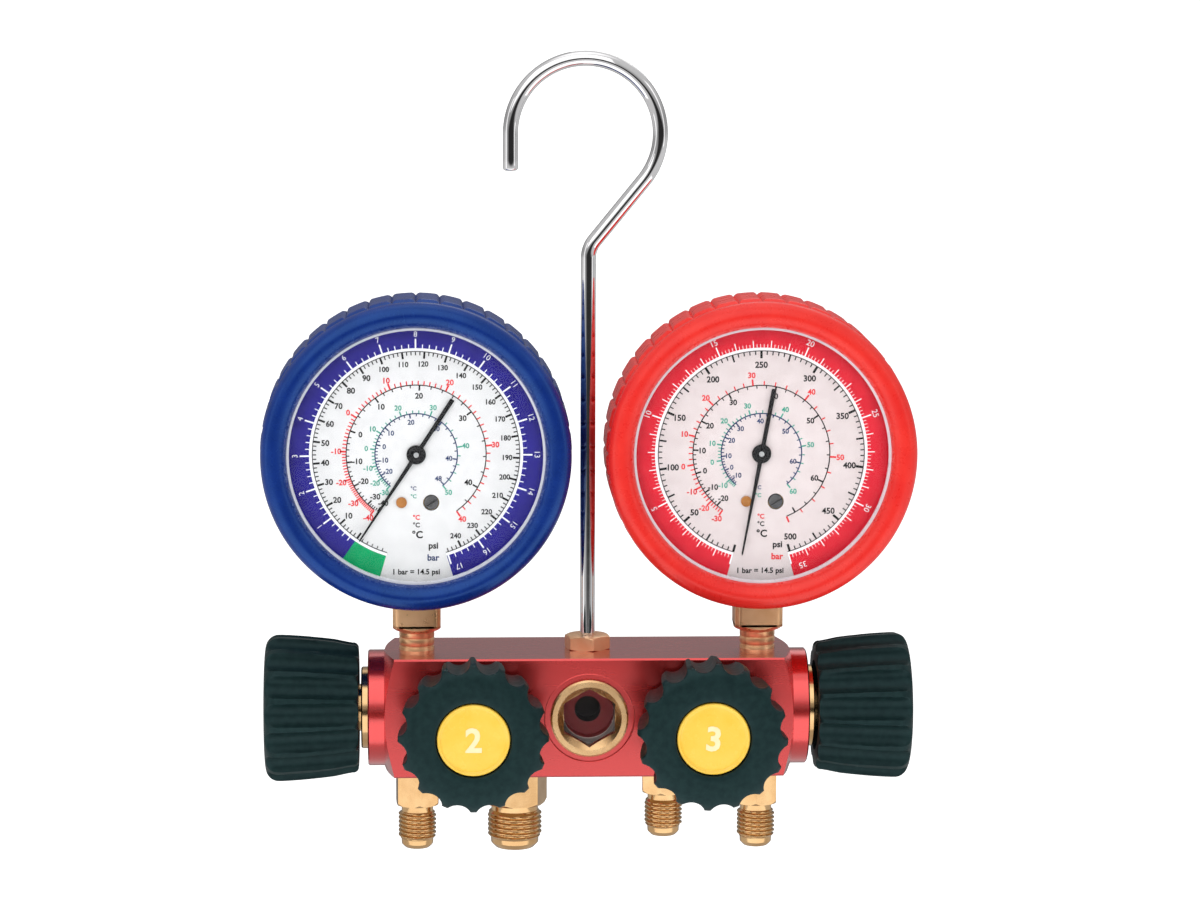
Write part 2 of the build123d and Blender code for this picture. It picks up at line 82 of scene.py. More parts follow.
def finish_mat(name, a, b, metallic=0.0, rough=(0.4, 0.5), scale=120.0, stretch=(1, 1, 1), bump=0.0, bump_scale=2500.0,
               bump_stretch=None, coat=0.0, coat_rough=0.1, spec=0.5, sheen=0.0, tint=None, rough_scale=400.0, ior=1.5, dist=0.00002,
               detail=4.0, turned=False):
    """Principled finish with colour, roughness and relief from noise in object space. turned: lathe marks along Z."""
    m = bpy.data.materials.new(name)
    m.use_nodes = True
    nt = m.node_tree
    nt.nodes.clear()
    out = nt.nodes.new("ShaderNodeOutputMaterial")
    p = nt.nodes.new("ShaderNodeBsdfPrincipled")
    nt.links.new(p.outputs[0], out.inputs[0])
    tc = nt.nodes.new("ShaderNodeTexCoord")
    mp = nt.nodes.new("ShaderNodeMapping")
    mp.inputs["Scale"].default_value = stretch
    nt.links.new(tc.outputs["Object"], mp.inputs["Vector"])
    n1 = nt.nodes.new("ShaderNodeTexNoise")
    n1.inputs["Scale"].default_value = scale
    n1.inputs["Detail"].default_value = detail
    nt.links.new(mp.outputs[0], n1.inputs["Vector"])
    ramp = nt.nodes.new("ShaderNodeValToRGB")
    ramp.color_ramp.elements[0].position, ramp.color_ramp.elements[1].position = 0.34, 0.66
    ramp.color_ramp.elements[0].color, ramp.color_ramp.elements[1].color = lin(a), lin(b)
    nt.links.new(n1.outputs["Fac"], ramp.inputs[0])
    nt.links.new(ramp.outputs[0], p.inputs["Base Color"])
    n2 = nt.nodes.new("ShaderNodeTexNoise")
    n2.inputs["Scale"].default_value = rough_scale
    n2.inputs["Detail"].default_value = 3.0
    nt.links.new(mp.outputs[0], n2.inputs["Vector"])
    mr = nt.nodes.new("ShaderNodeMapRange")
    mr.inputs["From Min"].default_value, mr.inputs["From Max"].default_value = 0.3, 0.7
    mr.inputs["To Min"].default_value, mr.inputs["To Max"].default_value = rough
    nt.links.new(n2.outputs["Fac"], mr.inputs["Value"])
    nt.links.new(mr.outputs[0], p.inputs["Roughness"])
    if bump:
        mb = nt.nodes.new("ShaderNodeMapping")
        mb.inputs["Scale"].default_value = bump_stretch or stretch
        nt.links.new(tc.outputs["Object"], mb.inputs["Vector"])
        n3 = nt.nodes.new("ShaderNodeTexNoise")
        n3.inputs["Scale"].default_value = bump_scale
        n3.inputs["Detail"].default_value = 2.0
        nt.links.new(mb.outputs[0], n3.inputs["Vector"])
        bm = nt.nodes.new("ShaderNodeBump")
        bm.inputs["Strength"].default_value = bump
        bm.inputs["Distance"].default_value = dist
        nt.links.new(n3.outputs["Fac"], bm.inputs["Height"])
        nt.links.new(bm.outputs[0], p.inputs["Normal"])
    p.inputs["Metallic"].default_value = metallic
    p.inputs["IOR"].default_value = ior
    p.inputs["Specular IOR Level"].default_value = spec
    p.inputs["Coat Weight"].default_value = coat
    p.inputs["Coat Roughness"].default_value = coat_rough
    if tint:
        p.inputs["Specular Tint"].default_value = (*tint, 1.0)
    if sheen:
        p.inputs["Sheen Weight"].default_value = sheen
        p.inputs["Sheen Roughness"].default_value = 0.4
    m.diffuse_color = lin(b)
    return m


def glass_mat(name, tint, rough=0.01, ior=1.22):
    """Clear pane that lets light through to what is behind it."""
    m = bpy.data.materials.new(name)
    m.use_nodes = True
    nt = m.node_tree
    nt.nodes.clear()
    out = nt.nodes.new("ShaderNodeOutputMaterial")
    mix = nt.nodes.new("ShaderNodeMixShader")
    lp = nt.nodes.new("ShaderNodeLightPath")
    tr = nt.nodes.new("ShaderNodeBsdfTransparent")
    tr.inputs[0].default_value = (0.98, 0.98, 0.98, 1)
    p = nt.nodes.new("ShaderNodeBsdfPrincipled")
    p.inputs["Base Color"].default_value = tint
    p.inputs["Transmission Weight"].default_value = 1.0
    p.inputs["IOR"].default_value = ior
    tc = nt.nodes.new("ShaderNodeTexCoord")
    n2 = nt.nodes.new("ShaderNodeTexNoise")
    n2.inputs["Scale"].default_value = 90.0
    nt.links.new(tc.outputs["Object"], n2.inputs["Vector"])
    mr = nt.nodes.new("ShaderNodeMapRange")
    mr.inputs["To Min"].default_value, mr.inputs["To Max"].default_value = 0.0, rough
    nt.links.new(n2.outputs["Fac"], mr.inputs["Value"])
    nt.links.new(mr.outputs[0], p.inputs["Roughness"])
    nt.links.new(lp.outputs["Is Shadow Ray"], mix.inputs[0])
    nt.links.new(p.outputs[0], mix.inputs[1])
    nt.links.new(tr.outputs[0], mix.inputs[2])
    nt.links.new(mix.outputs[0], out.inputs[0])
    return m


M = {
    "anodised": finish_mat("anodised_red_aluminium", (208, 48, 48), (216, 54, 53), metallic=0.88, rough=(0.25, 0.28), scale=60.0,
                           stretch=(0.15, 1, 1), bump=0.012, bump_scale=3200.0, bump_stretch=(0.08, 1, 1), coat=1.0, coat_rough=0.17),
    "brass": finish_mat("turned_brass", (198, 158, 110), (213, 176, 128), metallic=1.0, rough=(0.14, 0.20), scale=180.0,
                        bump=0.18, bump_scale=2200.0, bump_stretch=(0.05, 0.05, 1.0)),
    "brass_satin": finish_mat("satin_brass", (232, 180, 130), (244, 196, 148), metallic=0.68, rough=(0.27, 0.35), scale=200.0,
                              bump=0.12, bump_scale=3000.0, bump_stretch=(1, 1, 0.4)),
    "brass_ring": finish_mat("polished_brass", (214, 172, 124), (232, 192, 142), metallic=1.0, rough=(0.22, 0.30), scale=220.0,
                             bump=0.05, bump_scale=3000.0),
    "copper_nut": finish_mat("copper_brass", (246, 190, 140), (253, 208, 160), metallic=0.6, rough=(0.28, 0.36), scale=220.0,
                             bump=0.05, bump_scale=3000.0),
    "brass_inner": finish_mat("brass_movement", (200, 160, 90), (214, 176, 104), metallic=1.0, rough=(0.28, 0.38), scale=300.0,
                              bump=0.2, bump_scale=3000.0),
    "brass_dark": finish_mat("brass_tarnished", (150, 98, 50), (172, 116, 62), metallic=0.8, rough=(0.4, 0.5), scale=500.0, bump=0.2),
    # painted reflection and shade: a darker, pinkish copy of the dial white stands in for the red surround's reflected
    # light and the shade on the red gauge's dial
    "dial_warm": finish_mat("dial_white_warm", (206, 195, 196), (213, 203, 204), rough=(0.34, 0.42), scale=220.0, bump=0.08, bump_scale=2400.0, spec=0.12),
    "chrome": finish_mat("chrome_plate", (216, 215, 216), (228, 227, 228), metallic=1.0, rough=(0.04, 0.08), scale=70.0,
                         bump=0.02, bump_scale=600.0),
    "steel": finish_mat("zinc_steel", (168, 170, 172), (186, 188, 190), metallic=1.0, rough=(0.28, 0.38), scale=260.0,
                        bump=0.2, bump_scale=2600.0),
    "dark_steel": finish_mat("blackened_steel", (70, 70, 72), (96, 96, 98), metallic=0.9, rough=(0.35, 0.5), scale=420.0,
                             bump=0.25, bump_scale=2600.0),
    "case": finish_mat("pressed_case_steel", (196, 198, 202), (200, 202, 206), metallic=1.0, rough=(0.33, 0.37), scale=900.0,
                       stretch=(1, 0.2, 1), bump=0.12, bump_scale=1800.0, bump_stretch=(0.1, 1, 1)),
    "blue": finish_mat("blue_rubber", (12, 40, 116), (17, 47, 128), rough=(0.24, 0.30), scale=140.0, bump=0.05, bump_scale=1500.0,
                       spec=0.75, tint=(0.22, 0.52, 1.0), dist=0.00002),
    "red": finish_mat("red_rubber", (238, 42, 38), (246, 52, 44), rough=(0.25, 0.33), scale=140.0, bump=0.05, bump_scale=1500.0,
                      spec=0.55, tint=(1.0, 0.62, 0.58), dist=0.00002),
    "knob": finish_mat("knob_plastic", (17, 34, 35), (24, 43, 43), rough=(0.36, 0.44), scale=500.0, bump=0.22, bump_scale=4200.0,
                       spec=0.45, tint=(0.6, 0.95, 1.0), dist=0.00002, ior=1.3),
    "yellow": finish_mat("cap_yellow", (252, 202, 66), (253, 209, 82), rough=(0.22, 0.30), scale=160.0, bump=0.08, bump_scale=1500.0, spec=0.55),
    "cap_blue": finish_mat("cap_blue", (34, 66, 160), (42, 76, 172), rough=(0.22, 0.30), scale=160.0, bump=0.08, bump_scale=1500.0, spec=0.55),
    "cap_red": finish_mat("cap_red", (206, 34, 40), (216, 42, 46), rough=(0.22, 0.30), scale=160.0, bump=0.08, bump_scale=1500.0, spec=0.55),
    "cream": finish_mat("cream_print", (250, 232, 180), (253, 238, 192), rough=(0.3, 0.4), scale=400.0, bump=0.1),
    "dial": finish_mat("dial_white", (212, 213, 215), (219, 220, 222), rough=(0.34, 0.42), scale=220.0, bump=0.08, bump_scale=2400.0, spec=0.12),
    "bezel": finish_mat("bezel_white", (232, 234, 242), (240, 242, 248), rough=(0.25, 0.34), scale=200.0, bump=0.06, bump_scale=1800.0),
    "ink_white": finish_mat("ink_white", (236, 238, 246), (246, 248, 252), rough=(0.35, 0.45), scale=600.0, bump=0.1, spec=0.12),
    "ink_black": finish_mat("ink_black", (22, 22, 24), (34, 34, 36), rough=(0.4, 0.5), scale=600.0, bump=0.1, spec=0.12),
    "ink_red": finish_mat("ink_red", (214, 48, 54), (226, 60, 64), rough=(0.35, 0.45), scale=600.0, bump=0.1, spec=0.12),
    "ink_green": finish_mat("ink_green", (0, 150, 92), (8, 162, 100), rough=(0.35, 0.45), scale=300.0, bump=0.1, spec=0.12),
    "ink_teal": finish_mat("ink_teal", (60, 150, 130), (74, 164, 144), rough=(0.35, 0.45), scale=300.0, bump=0.1, spec=0.12),
    "ink_navy": finish_mat("ink_navy", (40, 56, 96), (50, 68, 112), rough=(0.35, 0.45), scale=300.0, bump=0.1, spec=0.12),
    "band_blue": finish_mat("band_blue", (36, 30, 126), (42, 37, 138), rough=(0.3, 0.4), scale=200.0, bump=0.08, spec=0.12),
    "band_red": finish_mat("band_red", (212, 28, 48), (222, 36, 54), rough=(0.3, 0.4), scale=200.0, bump=0.08, spec=0.12),
    "pointer": finish_mat("pointer_black", (18, 18, 20), (28, 28, 30), rough=(0.38, 0.5), scale=500.0, bump=0.15, spec=0.12),
    "seal_grey": finish_mat("seal_grey", (228, 218, 214), (238, 228, 224), rough=(0.4, 0.5), scale=300.0, bump=0.15),
    "seal_black": finish_mat("seal_black", (22, 22, 22), (32, 32, 32), rough=(0.5, 0.6), scale=300.0, bump=0.2),
    "lens": glass_mat("gauge_lens", (0.995, 0.995, 0.99, 1)),
    "window": glass_mat("sight_window", (0.99, 0.985, 0.98, 1), ior=1.12),
}


def darken_bore():
    """The sight glass bore and the passage behind it are unpolished (rougher, less metallic, no coat), and painted
    shade darkens them: darker red in the bore, near black in the hole.
    """
    m = M["anodised"]
    nt = m.node_tree
    p = next(n for n in nt.nodes if n.type == "BSDF_PRINCIPLED")
    p.inputs["Coat IOR"].default_value = 1.6
    source = p.inputs["Base Color"].links[0].from_socket
    tc = nt.nodes.new("ShaderNodeTexCoord")
    sep = nt.nodes.new("ShaderNodeSeparateXYZ")
    nt.links.new(tc.outputs["Object"], sep.inputs[0])

    def math_node(op, a, b):
        n = nt.nodes.new("ShaderNodeMath")
        n.operation = op
        for i, v in enumerate((a, b)):
            if isinstance(v, (int, float)):
                n.inputs[i].default_value = v
            else:
                nt.links.new(v, n.inputs[i])
        return n.outputs[0]

    dz = math_node("ADD", sep.outputs["Z"], Z_HANG / 1000.0)
    rr = math_node("SQRT", math_node("ADD", math_node("MULTIPLY", sep.outputs["X"], sep.outputs["X"]), math_node("MULTIPLY", dz, dz)), 0.0)
    inside = math_node("LESS_THAN", sep.outputs["Y"], 0.0060)
    in_bore = math_node("MULTIPLY", math_node("MULTIPLY", math_node("LESS_THAN", rr, 0.0077), math_node("GREATER_THAN", sep.outputs["Y"], -0.0166)), inside)
    hole_painted_shadow = math_node("MULTIPLY", math_node("MULTIPLY", math_node("LESS_THAN", rr, 0.0042), math_node("GREATER_THAN", sep.outputs["Y"], -0.00345)), inside)
    # painted shade: a darker red over the bore and near black over the hole stand in for the shade inside them
    colour = source
    for mask, tint in ((in_bore, (128, 30, 34)), (hole_painted_shadow, (24, 6, 7))):
        mix = nt.nodes.new("ShaderNodeMix")
        mix.data_type = "RGBA"
        nt.links.new(mask, mix.inputs[0])
        nt.links.new(colour, mix.inputs[6])
        mix.inputs[7].default_value = lin(tint)
        colour = mix.outputs[2]
    nt.links.new(colour, p.inputs["Base Color"])
    rough = p.inputs["Roughness"].links[0].from_socket
    nt.links.new(math_node("MAXIMUM", rough, math_node("MULTIPLY", in_bore, 0.62)), p.inputs["Roughness"])
    nt.links.new(math_node("SUBTRACT", 0.88, math_node("MULTIPLY", in_bore, 0.6)), p.inputs["Metallic"])
    nt.links.new(math_node("SUBTRACT", 1.0, in_bore), p.inputs["Coat Weight"])


darken_bore()


def dress(node, material, angle=30.0):
    o = NODES[node]
    o.data.materials.clear()
    o.data.materials.append(M[material])


# ------------------------------------------------------------------ mesh helpers
def piece(name, verts, faces, material, body, replaces=(), sharp=32.0, local=True):
    me = bpy.data.meshes.new(name)
    me.from_pydata([mm(*v) for v in verts] if local else verts, [], faces)
    me.validate()
    bm = bmesh.new()
    bm.from_mesh(me)
    bmesh.ops.recalc_face_normals(bm, faces=bm.faces)
    bm.to_mesh(me)
    bm.free()
    me.polygons.foreach_set("use_smooth", [True] * len(me.polygons))
    me.set_sharp_from_angle(angle=math.radians(sharp))
    me.update()
    o = bpy.data.objects.new(name, me)
    scene.collection.objects.link(o)
    me.materials.append(M[material])
    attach(o, body)
    if replaces:
        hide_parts(*replaces)
    return o


def grid(rows, closed_rows=False, cap=False):
    """rows: lists of points of the same length, each a closed ring. Consecutive rings are joined; closed_rows also joins
    the last to the first, and cap closes both ends with a fan."""
    n, m = len(rows), len(rows[0])
    verts = [p for row in rows for p in row]
    faces = []
    for i in range(n if closed_rows else n - 1):
        a, b = i * m, ((i + 1) % n) * m
        for j in range(m):
            k = (j + 1) % m
            faces.append((a + j, a + k, b + k, b + j))
    if cap:
        for i, row in ((0, rows[0]), (n - 1, rows[-1])):
            c = len(verts)
            verts.append(tuple(sum(p[d] for p in row) / m for d in range(3)))
            for j in range(m):
                faces.append((i * m + j, i * m + (j + 1) % m, c))
    return verts, faces


def poly_r(phi, n, apothem, rho):
    """Radius of a regular n-gon with rounded corners at angle phi from a corner."""
    half = math.pi / n
    a = (phi + half) % (2 * half) - half
    d = (apothem - rho) / math.cos(half)
    flat = apothem / math.cos(half - abs(a))
    s = d * math.sin(a)
    if abs(s) < rho:
        rc = d * math.cos(a) + math.sqrt(rho * rho - s * s)
        edge = math.atan2(rho * math.sin(half), d + rho * math.cos(half))
        if abs(a) < edge:
            return rc
    return flat


def smin(a, b, k):
    """Smooth minimum over a length k."""
    h = max(k - abs(a - b), 0.0) / k
    return min(a, b) - h * h * k * 0.25


def arc(c, r, a0, a1, n):
    return [(c[0] + r * math.cos(math.radians(a0 + (a1 - a0) * i / n)), c[1] + r * math.sin(math.radians(a0 + (a1 - a0) * i / n))) for i in range(n + 1)]


def arc3(p, q, s, n):
    """Points from p to s on the circle through q."""
    ax, ay, bx, by, cx, cy = *p, *q, *s
    d = 2 * (ax * (by - cy) + bx * (cy - ay) + cx * (ay - by))
    ux = ((ax * ax + ay * ay) * (by - cy) + (bx * bx + by * by) * (cy - ay) + (cx * cx + cy * cy) * (ay - by)) / d
    uy = ((ax * ax + ay * ay) * (cx - bx) + (bx * bx + by * by) * (ax - cx) + (cx * cx + cy * cy) * (bx - ax)) / d
    r = math.hypot(ax - ux, ay - uy)
    t0, t1, t2 = math.atan2(ay - uy, ax - ux), math.atan2(by - uy, bx - ux), math.atan2(cy - uy, cx - ux)
    if (t1 - t0) % TAU <= (t2 - t0) % TAU:
        sweep = (t2 - t0) % TAU
    else:
        sweep = (t2 - t0) % TAU - TAU
    return [(ux + r * math.cos(t0 + sweep * i / n), uy + r * math.sin(t0 + sweep * i / n)) for i in range(n + 1)]


def refine(points, step):
    """Adds points on straight runs longer than step."""
    out = [points[0]]
    for p, q in zip(points, points[1:]):
        d = math.hypot(q[0] - p[0], q[1] - p[1])
        k = max(1, int(math.ceil(d / step)))
        out += [(p[0] + (q[0] - p[0]) * i / k, p[1] + (q[1] - p[1]) * i / k) for i in range(1, k + 1)]
    return out


def soften(points, radius, n=4, closed=False):
    """Rounds the corners of an (r, z) profile with small fillets."""
    out = []
    m = len(points)
    for i in range(m):
        p = points[i]
        if not closed and i in (0, m - 1):
            out.append(p)
            continue
        a, b = points[(i - 1) % m], points[(i + 1) % m]
        da, db = math.hypot(a[0] - p[0], a[1] - p[1]), math.hypot(b[0] - p[0], b[1] - p[1])
        cut = min(radius, da * 0.45, db * 0.45)
        if cut < 1e-4:
            out.append(p)
            continue
        pa = (p[0] + (a[0] - p[0]) * cut / da, p[1] + (a[1] - p[1]) * cut / da)
        pb = (p[0] + (b[0] - p[0]) * cut / db, p[1] + (b[1] - p[1]) * cut / db)
        for k in range(n + 1):
            t = k / n
            out.append(((1 - t) ** 2 * pa[0] + 2 * t * (1 - t) * p[0] + t * t * pb[0],
                        (1 - t) ** 2 * pa[1] + 2 * t * (1 - t) * p[1] + t * t * pb[1]))
    return out


# placements: a part modelled outward along t, with its own x and y across
def side_place(side):
    if side == "low":
        return lambda x, y, t: (-BOSS_END - t, y, x)
    if side == "high":
        return lambda x, y, t: (BOSS_END + t, y, -x)
    sx = -FRONT_X if side == "vacuum" else FRONT_X
    return lambda x, y, t: (sx + x, -BLOCK_H - t, y)


def gauge_place(gx):
    return lambda u, w, g: (gx + u, -g, GZ + w)


def spun(place, fn, profile, thetas, centre=(0.0, 0.0), closed=True):
    """Rings of place(x, y, t) where the radius is fn(theta, r, t, kind) of each profile point (r, t[, kind])."""
    rows = []
    for pt in profile:
        r, t = pt[0], pt[1]
        kind = pt[2] if len(pt) > 2 else ""
        row = []
        for th in thetas:
            q = fn(th, r, t, kind)
            rr, tt = q if isinstance(q, tuple) else (q, t)
            row.append(place(centre[0] + rr * math.cos(th), centre[1] + rr * math.sin(th), tt))
        rows.append(row)
    return rows


# ------------------------------------------------------------------ knobs
SC_R, SC_C, SC_TILT = 3.5, 22.25, math.tan(math.radians(math.degrees(math.atan(2.4 / 22.0)) * 0.8))
PITCH = TAU / 16


def knob_thetas():
    """Angles over one pitch, denser at the sides of the crest; a crest is at the start."""
    half = PITCH / 2
    steps = [0.0, 0.30, 0.55, 0.72, 0.85, 0.96, 1.06, 1.18, 1.36, 1.62, 2.0, 2.5, 3.1, 3.75]
    mm_half = 21.5 * half
    one = [s / 21.5 for s in steps if s < mm_half - 0.2]
    angles = one + [half] + [PITCH - a for a in reversed(one[1:])]
    return [k * PITCH + a for k in range(16) for a in angles]


def knob_r(th, t):
    """Radius of the fluted outline at angle th from a crest, at height t."""
    a = (th % PITCH) - PITCH / 2           # angle from the middle of the scallop
    rc = SC_C + (t - 24.0) * SC_TILT
    s = rc * math.sin(a)
    if abs(s) < SC_R:
        inner = rc * math.cos(a) - math.sqrt(SC_R * SC_R - s * s)
    else:
        inner = rc * math.cos(a)
    return inner


def make_knob(side, spin_deg=0.0):
    outer = [(13.2, 2.7), (16.9, 2.7)] + arc3((17.7, 2.75), (18.75, 3.3), (19.1, 4.6), 6) + \
        [(19.45, 6.5), (20.2, 10.0), (20.65, 13.5), (21.0, 17.0), (21.25, 20.0), (21.42, 23.0), (21.5, 25.2)] + \
        arc3((21.48, 26.2), (20.75, 28.4), (18.9, 29.75), 10) + [(18.2, 29.93), (17.4, 30.05), (16.0, 30.15), (14.0, 30.2), (11.3, 30.2)] + \
        [(10.95, 30.1), (10.78, 29.8), (10.72, 29.2), (10.7, 27.4)]
    outer = refine(outer[:2], 2.0) + refine(outer[1:], 1.4)[1:]
    inner = [(8.0, 27.4), (8.0, 22.0), (3.25, 22.0), (3.25, 11.2), (4.6, 11.0), (4.6, 14.0), (13.2, 14.0)]
    profile = [(r, t, "o") for r, t in outer] + [(r, t, "i") for r, t in inner]
    place = side_place(side)
    spin = math.radians(spin_deg)

    def fn(th, r, t, kind):
        if kind == "i" or r < 14.5:
            return r
        f = knob_r(th, t)
        return smin(r, f, 0.8) if abs(r - f) < 3 else min(r, f)

    rows = []
    for r, t, kind in profile:
        row = []
        for th in knob_thetas():
            rr = fn(th, r, t, kind)
            a = th + math.pi / 2 - spin
            row.append(place(rr * math.cos(a), rr * math.sin(a), t))
        rows.append(row)
    v, f = grid(rows, closed_rows=True)
    return piece(f"{side}_knob_moulding", v, f, "knob", f"{side}_spindle", [f"{side}_valve_knob"], sharp=38)


def text_mesh(body, size, extrude=0.00003, bold=False):
    """Vertices (mm, centred) and faces of a generic number or unit."""
    key = (body, round(size, 3), extrude)
    if key in text_mesh.cache:
        return text_mesh.cache[key]
    cu = bpy.data.curves.new("t", "FONT")
    cu.body = body
    cu.size = size / 1000.0
    cu.align_x, cu.align_y = "CENTER", "CENTER"
    cu.extrude = extrude
    cu.resolution_u = 3
    if bold:
        cu.offset = size / 1000.0 * 0.028
    o = bpy.data.objects.new("t", cu)
    scene.collection.objects.link(o)
    dg = bpy.context.evaluated_depsgraph_get()
    me = bpy.data.meshes.new_from_object(o.evaluated_get(dg))
    vs = [(v.co.x * 1000, v.co.y * 1000, v.co.z * 1000) for v in me.vertices]
    fs = [tuple(p.vertices) for p in me.polygons]
    xs, ys = [v[0] for v in vs], [v[1] for v in vs]
    cx, cy = (min(xs) + max(xs)) / 2, (min(ys) + max(ys)) / 2
    vs = [(x - cx, y - cy, z) for x, y, z in vs]
    bpy.data.objects.remove(o)
    bpy.data.curves.remove(cu)
    bpy.data.meshes.remove(me)
    text_mesh.cache[key] = (vs, fs)
    return vs, fs


text_mesh.cache = {}


def make_cap(side, number, spin_deg=0.0):
    place = side_place(side)
    body = f"{side}_spindle"
    prof = [(0.35, 29.34), (2.5, 29.33), (5.0, 29.29), (7.4, 29.22), (8.9, 29.16), (9.22, 29.18), (9.42, 29.30), (9.55, 29.50), (9.72, 29.64),
            (9.92, 29.68), (10.12, 29.64), (10.27, 29.5), (10.36, 29.28), (10.4, 28.9), (10.4, 27.7), (10.2, 27.42), (6.0, 27.42), (0.35, 27.42)]
    thetas = [TAU * i / 128 for i in range(128)]
    rows = spun(place, lambda th, r, t, k: r, prof, thetas)
    v, f = grid(rows, cap=True)
    colour = {"low": ("cap_blue", "cap_blue"), "high": ("cap_red", "cap_red")}.get(side, ("yellow", "cap_yellow"))
    cap = piece(f"{side}_cap_disc", v, f, colour[0], body, [f"{side}_valve_knob_cap"], sharp=40)
    vs, fs = text_mesh(number, 9.6, 0.00012, bold=True)
    a = -math.radians(spin_deg)
    flip = side in ("low", "high")
    pts = []
    for x, y, z in vs:
        x2, y2 = x * math.cos(a) - y * math.sin(a), x * math.sin(a) + y * math.cos(a)
        if side == "low":        # across: place(x=up, y=back), so text right is +Y seen from the left end
            pts.append(place(y2, -x2, 29.33 + z))
        elif side == "high":
            pts.append(place(-y2, x2, 29.33 + z))
        else:
            pts.append(place(x2, y2, 29.33 + z))
    piece(f"{side}_cap_number", pts, fs, "cream", body, sharp=30)
    return cap


SPIN = {"low": 6.0, "high": -3.0, "vacuum": 0.0, "charging": 4.0}
for i, side in enumerate(("low", "vacuum", "charging", "high")):
    make_knob(side, SPIN[side])
    make_cap(side, str(i + 1), SPIN[side])


# ------------------------------------------------------------------ gauge boots
def boot_thetas(ribs=40):
    pitch = TAU / ribs
    half = 45.1 * pitch / 2
    s = [0.0, 0.16, 0.34, 0.56, 0.84, 1.2, 1.7, 2.5]
    one = [x / 45.1 for x in s]
    angles = one + [pitch / 2] + [pitch - a for a in reversed(one[1:])]
    return [k * pitch + a for k in range(ribs) for a in angles], half


def make_boot(name, gx, material):
    place = gauge_place(gx)
    R = 45.1
    outline = [(34.6, -10.05), (34.15, -10.2), (34.0, -10.6), (34.0, -11.6), (34.2, -12.05), (34.7, -12.2), (38.0, -12.2)] + \
        arc3((42.3, -12.2), (44.33, -11.43), (R, -9.5), 8) + \
        refine([(R, -9.5), (R, 7.7)], 3.4)[1:] + [(R - 0.04, 8.25), (R - 0.22, 8.75), (R - 0.55, 9.15), (44.25, 9.55), (44.02, 10.0), (43.95, 10.6)] + \
        [(43.95, 11.4), (43.98, 12.1)] + arc3((44.02, 12.4), (44.8, 14.7), (43.69, 17.39), 12)[1:] + arc3((43.69, 17.39), (41.0, 18.5), (37.35, 14.98), 22)[1:] + \
        [(37.27, 14.85), (37.32, 14.75), (37.5, 14.72), (39.95, 14.72), (39.95, 2.0), (39.95, -10.05)]
    thetas, half = boot_thetas()
    pitch = TAU / 40

    def rib(th):
        s = abs(((th + pitch / 2) % pitch) - pitch / 2) * R
        return R - 1.0 * max(0.0, 1.0 - s / 1.55) ** 2.3

    rows = []
    for r, g in outline:
        amount = 1.0
        if g > 7.4 or g < -11.2:
            amount = 1.0
        row = []
        for th in thetas:
            rr = r
            if r > 43.2 and -12.0 < g < 10.2:
                rr = min(r, rib(th))
            row.append(place(rr * math.sin(th), rr * math.cos(th), g))
        rows.append(row)
    v, f = grid(rows, closed_rows=True)
    o = piece(f"{name}_boot_rubber", v, f, material, "manifold", [f"{name}_gauge_boot"], sharp=48)
    # square opening for the socket at the bottom
    cut = bpy.data.meshes.new("cut")
    bm = bmesh.new()
    bmesh.ops.create_cube(bm, size=1.0)
    for vert in bm.verts:
        x, y, z = vert.co
        vert.co = Vector(mm(gx + x * 14.6, y * 14.6, GZ - 40.0 + z * 20.0))
    bmesh.ops.bevel(bm, geom=[e for e in bm.edges if abs(e.verts[0].co.z - e.verts[1].co.z) > 0.01], offset=0.0012, segments=4, affect="EDGES")
    bm.to_mesh(cut)
    bm.free()
    cutter = bpy.data.objects.new("cut", cut)
    scene.collection.objects.link(cutter)
    mod = o.modifiers.new("hole", "BOOLEAN")
    mod.object = cutter
    mod.operation = "DIFFERENCE"
    mod.solver = "EXACT"
    bpy.context.view_layer.update()
    dg = bpy.context.evaluated_depsgraph_get()
    made = bpy.data.meshes.new_from_object(o.evaluated_get(dg))
    o.modifiers.clear()
    o.data = made
    made.materials.clear()
    made.materials.append(M[material])
    made.polygons.foreach_set("material_index", [0] * len(made.polygons))
    made.polygons.foreach_set("use_smooth", [True] * len(made.polygons))
    made.set_sharp_from_angle(angle=math.radians(48))
    bpy.data.objects.remove(cutter)
    return o


make_boot("low", -GAUGE_X, "blue")
make_boot("high", GAUGE_X, "red")


# ------------------------------------------------------------------ brass ports with helical threads
def up_place(x, y, z):
    return (x, y, z)


